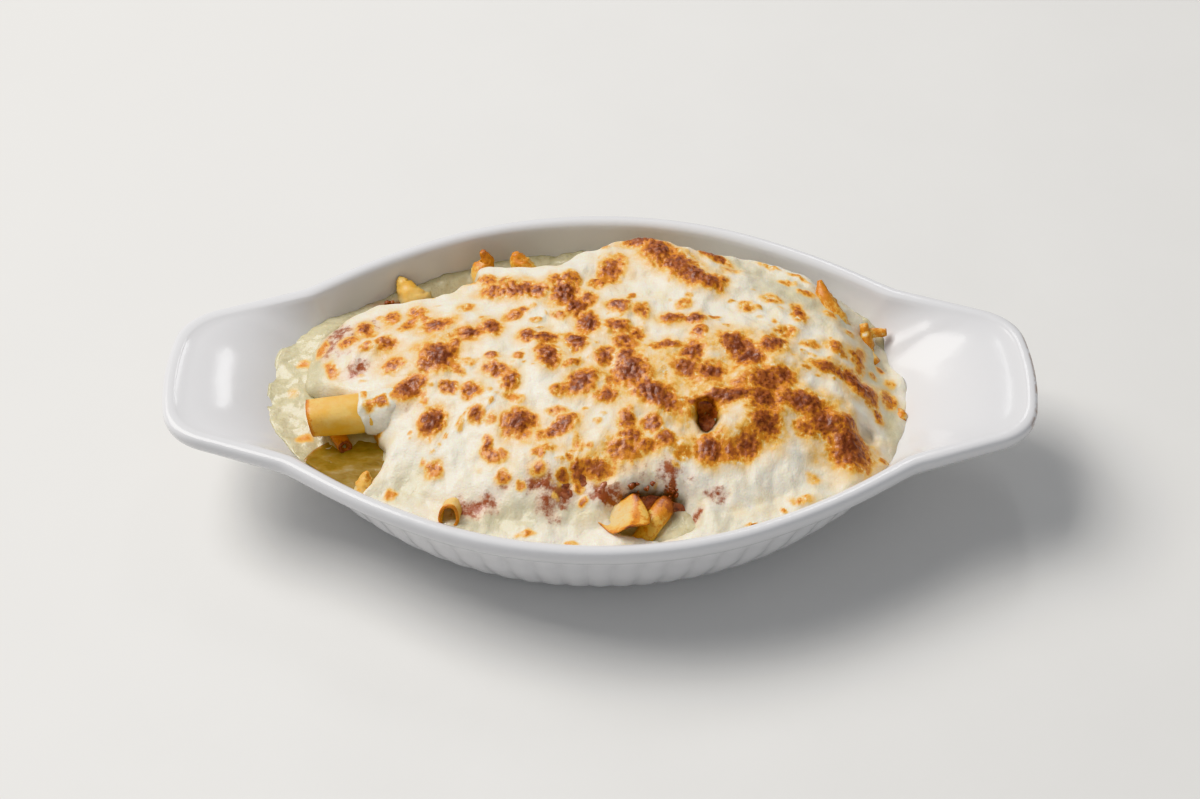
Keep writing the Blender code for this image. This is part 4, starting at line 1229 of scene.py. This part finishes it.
def cheese_mesh(food):
    """The cheese: its edge rolls down to the bed where it is free, and lies against the wall elsewhere."""

    def top(x, y, share, angle):
        surface = dome(x, y) + cheese_relief(x, y, toast_field(x, y), food)
        surface = smooth_max(surface, tube_ridge(x, y), 0.003) - opening_depth(x, y)[0]
        edge, free = CHEESE_EDGE(angle), CHEESE_FREE(angle)
        inward = (1 - share) * edge
        shoulder = EDGE_SHOULDER + 0.0016 * noise(x, y, 0.012, 96)
        rest = np.minimum(bed_level(x, y) + SKIN, surface)
        roll = np.sqrt(np.clip(1 - (1 - np.clip(inward / shoulder, 0, 1)) ** 2, 0, 1))
        draped = rest + (surface - rest) * roll
        flat = surface - SKIN * (1 - np.clip(inward / 0.0025, 0, 1)) ** 2
        return free * draped + (1 - free) * flat

    def bottom(x, y, share):
        return dome(x, y) - 0.0110 - 0.002 * share

    def lean(x, y):
        return x, y + opening_depth(x, y)[1]

    return layer("melted_cheese_browned", CHEESE_EDGE, top, bottom, CHEESE_GRID, lean=lean)


class PASTA_OT_cheese(bpy.types.Operator):
    """Make the melted cheese, with its folds, blisters and openings"""

    bl_idname = "baked_pasta.cheese"
    bl_label = "Melted cheese"

    def execute(self, context):
        food = context.scene.baked_pasta_food
        mesh = cheese_mesh(food)
        x, y, z = coordinates(mesh).T
        wx, wy = warped(x, y, 0.0016, 0.0007, 97)
        paint(
            mesh,
            toast=toast_field(x, y),
            blush=spots(wx, wy, SAUCE_SHOWS, sharp=2.0),
            # deep: where painted shade darkens the openings, from how far below the dome and how near HOLLOWS
            deep=smooth_step(0.0020, 0.0055, dome(x, y) - z) * spots(x, y, HOLLOWS, sharp=8),
            # sheer: half-clear cheese, and painted shade on the mound's front slope
            sheer=spots(wx, wy, SHEER_AND_SHADED, sharp=2.5),
        )
        add_piece("melted_cheese_browned", mesh, cheese_look(food), "cheese", "melted_cheese")
        return {"FINISHED"}


def crisp_shape(path, radii, seed):
    """A crisp whose points' heights are given from the food or the wall, whichever is higher there."""
    x, y, up = np.transpose(path) * MM
    ground = np.maximum(wall_height(x, y), bed_level(x, y))
    return strand(np.column_stack([x, y, ground + up]), np.array(radii) * MM, wobble=0.10, seed=seed)


def sleeve_mesh():
    """The cheese that wraps the left tube's buried end, with an uneven surface."""
    path, radii = (np.array(each) * MM for each in SLEEVE)
    mesh = make_mesh("cheese_sleeve", *strand(path, radii, sides=64, steps=24))
    x, y, z = coordinates(mesh).T
    bulge = 0.0005 * noise(x, y, 0.004, 98) + 0.0007 * noise(x, z, 0.007, 99)
    axis = np.interp(x, path[[0, -1], 0], path[[0, -1], 1])
    move_points(mesh, np.column_stack([x, y + bulge * np.sign(y - axis), z + bulge]))
    paint(mesh, toast=spots(*warped(x, y, 0.0012, 0.0006, 97), SLEEVE_BLISTERS), blush=0, sheer=0.25, deep=0)
    return mesh


class PASTA_OT_crisps(bpy.types.Operator):
    """Make the toasted bits of cheese round the mound, and the cheese that wraps the left tube"""

    bl_idname = "baked_pasta.crisps"
    bl_label = "Crisps"

    def execute(self, context):
        look = cheese_look(context.scene.baked_pasta_food)
        parts = [crisp_shape(path, radii, seed) for seed, (path, radii) in enumerate(CRISPS)]
        mesh = make_mesh("cheese_crisps", *join(parts))
        paint(mesh, toast=CRISP_TOAST, blush=0, sheer=0, deep=0)
        add_piece("cheese_crisps", mesh, look, "cheese")
        add_piece("cheese_sleeve", sleeve_mesh(), look, "cheese")
        return {"FINISHED"}


# ---------------------------------------------------------------- loose pasta


def placed(points, middle, heading, rise):
    """A piece's points, turned from along +X and moved to its middle, inside the dish's wall."""
    turn = np.array(Euler((0, -np.radians(rise), np.radians(heading))).to_matrix())
    return kept_inside(points @ turn.T + np.array(middle))


def tube_shape(sizes, seed, sides=40, steps=22):
    """Points, faces and browning of one hollow tube with slanted ends, from a row in the form of TUBES."""
    middle, heading, rise, tube_length, radius, factors, cut, browning = sizes
    rng = np.random.default_rng(seed)
    angle = np.arange(sides) / sides * 2 * np.pi
    along = np.linspace(-1, 1, steps)
    sag, twist = rng.uniform(-0.0006, 0.0006), rng.uniform(-0.1, 0.1)

    def circle(t, r):
        lumps = 1 + 0.03 * np.sin(2 * angle + 3 * t + seed) + 0.02 * np.sin(5 * angle - 4 * t)
        y, z = r * lumps * np.cos(angle + twist * t), r * lumps * np.sin(angle + twist * t)
        x = t * tube_length / 2 + np.sign(t) * abs(t) ** 3 * z * np.tan(np.radians(cut))
        return np.column_stack([x, y * factors[0], z * factors[1] + sag * (1 - t * t)])

    inner, rim = radius - PASTA_WALL, radius - PASTA_WALL / 2
    end = 1 + 0.0004 / tube_length
    rings = [circle(t, radius) for t in along]
    rings += [circle(end, rim), *(circle(t, inner) for t in along[::-1]), circle(-end, rim)]
    points, faces = loft([*rings, rings[0]], closed_ends=False)
    points = points[:-sides]
    faces = [[index % len(points) for index in face] for face in faces]
    t = points[:, 0] / (tube_length / 2)
    low, centre, high = browning
    toast = centre + (low - centre) * smooth_step(0.35, 1.05, -t) + (high - centre) * smooth_step(0.35, 1.05, t)
    ring_at = np.concatenate([along, [1], along[::-1], [-1]])
    toast = toast + 0.35 * np.repeat(np.abs(ring_at) > 0.97, sides)
    return placed(points, middle, heading, rise), faces, toast


def curled_sheet():
    """Points, faces and browning of the wide noodle at the front rim: a wavy strip with raised, browned edges."""
    middle, heading, rise, sheet_length, half_width = SHEET
    u, v = np.meshgrid(np.linspace(-1, 1, 41), np.linspace(-1, 1, 33), indexing="ij")
    x = u * sheet_length / 2 * (1 - 0.12 * v) * np.sqrt(1 - 0.46 * v**2)
    y = v * half_width * (1 + 0.15 * np.sin(2.5 * u + 1)) * np.sqrt(1 - 0.46 * u**2)
    lift = 0.0026 * v**2 * (0.6 + 0.4 * u) + 0.0012 * np.sin(3.5 * u + 0.6 * v) - 0.0008 * u * v
    thick = PASTA_WALL / 2 * np.sqrt(np.maximum(1.02 - np.maximum(np.abs(u), np.abs(v)) ** 8, 0.02))
    sides = [np.stack([x, y, lift + side * thick], axis=-1).reshape(-1, 3) for side in (1, -1)]
    quads, border = grid_faces(u.shape)
    following = np.roll(border, -1)
    faces = quads.tolist() + (quads[:, ::-1] + u.size).tolist()
    faces += np.stack([following, border, border + u.size, following + u.size], axis=-1).tolist()
    edge = np.maximum(np.abs(u) ** 3, np.abs(v) ** 2)
    toast = 0.08 + 0.55 * edge**2 + 0.45 * np.exp(-(((u - 0.5 + 0.15 * v) / 0.16) ** 2))
    return placed(np.concatenate(sides), middle, heading, rise), faces, np.tile(toast.reshape(-1), 2)


def tip_shape(tip, seed):
    """Points, faces, browning and height from 0 to 1 of a piece that tapers to a tip."""
    path, radii, browning = (np.array(each) for each in tip)
    points, faces = strand(path * MM, radii * MM, sides=18, wobble=0.09, seed=seed)
    points = kept_inside(points)
    height = (points[:, 2] / MM - path[0, 2]) / (path[-1, 2] - path[0, 2])
    return points, faces, np.interp(height, (0, 1), browning), height


class PASTA_OT_tubes(bpy.types.Operator):
    """Make the tubes of pasta that stand out of the food"""

    bl_idname = "baked_pasta.tubes"
    bl_label = "Loose-ended pasta"

    def execute(self, context):
        look = pasta_look(context.scene.baked_pasta_food)
        for seed, node in enumerate(LOOSE_PASTA):
            if node in TIPS:
                points, faces, toast, bare = tip_shape(TIPS[node], seed)
            elif node in TUBES:
                points, faces, toast = tube_shape(TUBES[node], seed)
                bare = 1
            else:
                points, faces, toast = curled_sheet()
                bare = 0.4 + 1.5 * toast
            mesh = make_mesh(f"{node}_cooked", points, faces)
            paint(mesh, toast=toast, sheer=1 - smooth_step(0.2, 0.9, bare))
            add_piece(mesh.name, mesh, look, "pasta", node)
        return {"FINISHED"}


class PASTA_OT_bed_tubes(bpy.types.Operator):
    """Make the further pasta that lies half sunk at the bed's surface"""

    bl_idname = "baked_pasta.bed_tubes"
    bl_label = "Sunk pasta"

    def execute(self, context):
        rng = np.random.default_rng(14)
        parts, browning = [], []
        for seed, (px, py, heading) in enumerate(SUNK_PASTA, start=30):
            x, y = px * MM, py * MM
            sizes = ((x, y, bed_level(x, y) - SUNK_DEPTH), heading, rng.uniform(-6, 6), *SUNK_SIZE)
            points, faces, toast = tube_shape(sizes, seed, sides=28, steps=14)
            parts.append((points, faces))
            browning.append(toast)
        mesh = make_mesh("sunk_pasta", *join(parts))
        paint(mesh, toast=np.concatenate(browning), sheer=0.8)
        add_piece("sunk_pasta", mesh, pasta_look(context.scene.baked_pasta_food), "pasta")
        return {"FINISHED"}


# ---------------------------------------------------------------- stage


def add_light(name, place, size, tint, energy):
    data = bpy.data.lights.new(name, "AREA")
    data.shape = "RECTANGLE"
    data.size, data.size_y = size
    data.energy = energy
    data.color = tint
    light = bpy.data.objects.new(name, data)
    light.location = place
    target = Vector((0.0, 0.0, DISH_HEIGHT))
    light.rotation_euler = (target - Vector(place)).to_track_quat("-Z", "Y").to_euler()
    bpy.context.scene.collection.objects.link(light)


class PASTA_OT_stage(bpy.types.Operator):
    """Make the pale floor, the soft studio lights and the camera"""

    bl_idname = "baked_pasta.stage"
    bl_label = "Stage"

    def execute(self, context):
        scene = context.scene
        stage = scene.baked_pasta_stage
        bpy.ops.mesh.primitive_plane_add(size=FLOOR_SIZE, location=(0, 0, DISH_LOW.z))
        floor = context.object
        floor.name = "studio_floor"
        floor.data.materials.append(floor_look(stage))

        for (name, *light), energy in zip(LIGHTS, (stage.key_power, stage.fill_power, stage.window_power)):
            add_light(name, *light, energy)

        world = bpy.data.worlds.new("Studio sky")
        world.use_nodes = True
        background = world.node_tree.nodes["Background"]
        background.inputs["Color"].default_value = SKY_COLOUR
        background.inputs["Strength"].default_value = stage.sky
        scene.world = world
        scene.view_settings.view_transform = "Khronos PBR Neutral"

        target = Vector((0.0, AIM_Y, DISH_HEIGHT))
        back = Vector((0.0, -np.cos(stage.elevation), np.sin(stage.elevation)))
        data = bpy.data.cameras.new("Camera")
        data.lens = stage.lens
        camera = bpy.data.objects.new("Camera", data)
        camera.location = target + back * stage.distance
        camera.rotation_euler = (np.pi / 2 - stage.elevation, 0.0, 0.0)
        scene.collection.objects.link(camera)
        scene.camera = camera
        return {"FINISHED"}


# ---------------------------------------------------------------- add-on


OPERATORS = (
    PASTA_OT_dish,
    PASTA_OT_bed,
    PASTA_OT_sauce,
    PASTA_OT_pool,
    PASTA_OT_cheese,
    PASTA_OT_tubes,
    PASTA_OT_bed_tubes,
    PASTA_OT_crisps,
    PASTA_OT_stage,
)
SETTINGS = {
    "baked_pasta_dish": DishSettings,
    "baked_pasta_food": FoodSettings,
    "baked_pasta_stage": StageSettings,
}


class PASTA_PT_panel(bpy.types.Panel):
    """The pieces of the baked pasta, and their sizes and colours"""

    bl_label = "Baked Pasta"
    bl_idname = "PASTA_PT_panel"
    bl_space_type = "VIEW_3D"
    bl_region_type = "UI"
    bl_category = "Baked Pasta"

    def draw(self, context):
        for name, group in SETTINGS.items():
            box = self.layout.box()
            for field in group.__annotations__:
                box.prop(getattr(context.scene, name), field)
        for operator in OPERATORS:
            self.layout.operator(operator.bl_idname)


CLASSES = (*SETTINGS.values(), *OPERATORS, PASTA_PT_panel)


def register():
    for each in CLASSES:
        bpy.utils.register_class(each)
    for name, group in SETTINGS.items():
        setattr(bpy.types.Scene, name, PointerProperty(type=group))


def unregister():
    for name in SETTINGS:
        delattr(bpy.types.Scene, name)
    for each in reversed(CLASSES):
        bpy.utils.unregister_class(each)


def main():
    register()
    for operator in OPERATORS:
        group, name = operator.bl_idname.split(".")
        getattr(getattr(bpy.ops, group), name)()


if __name__ == "__main__":
    main()
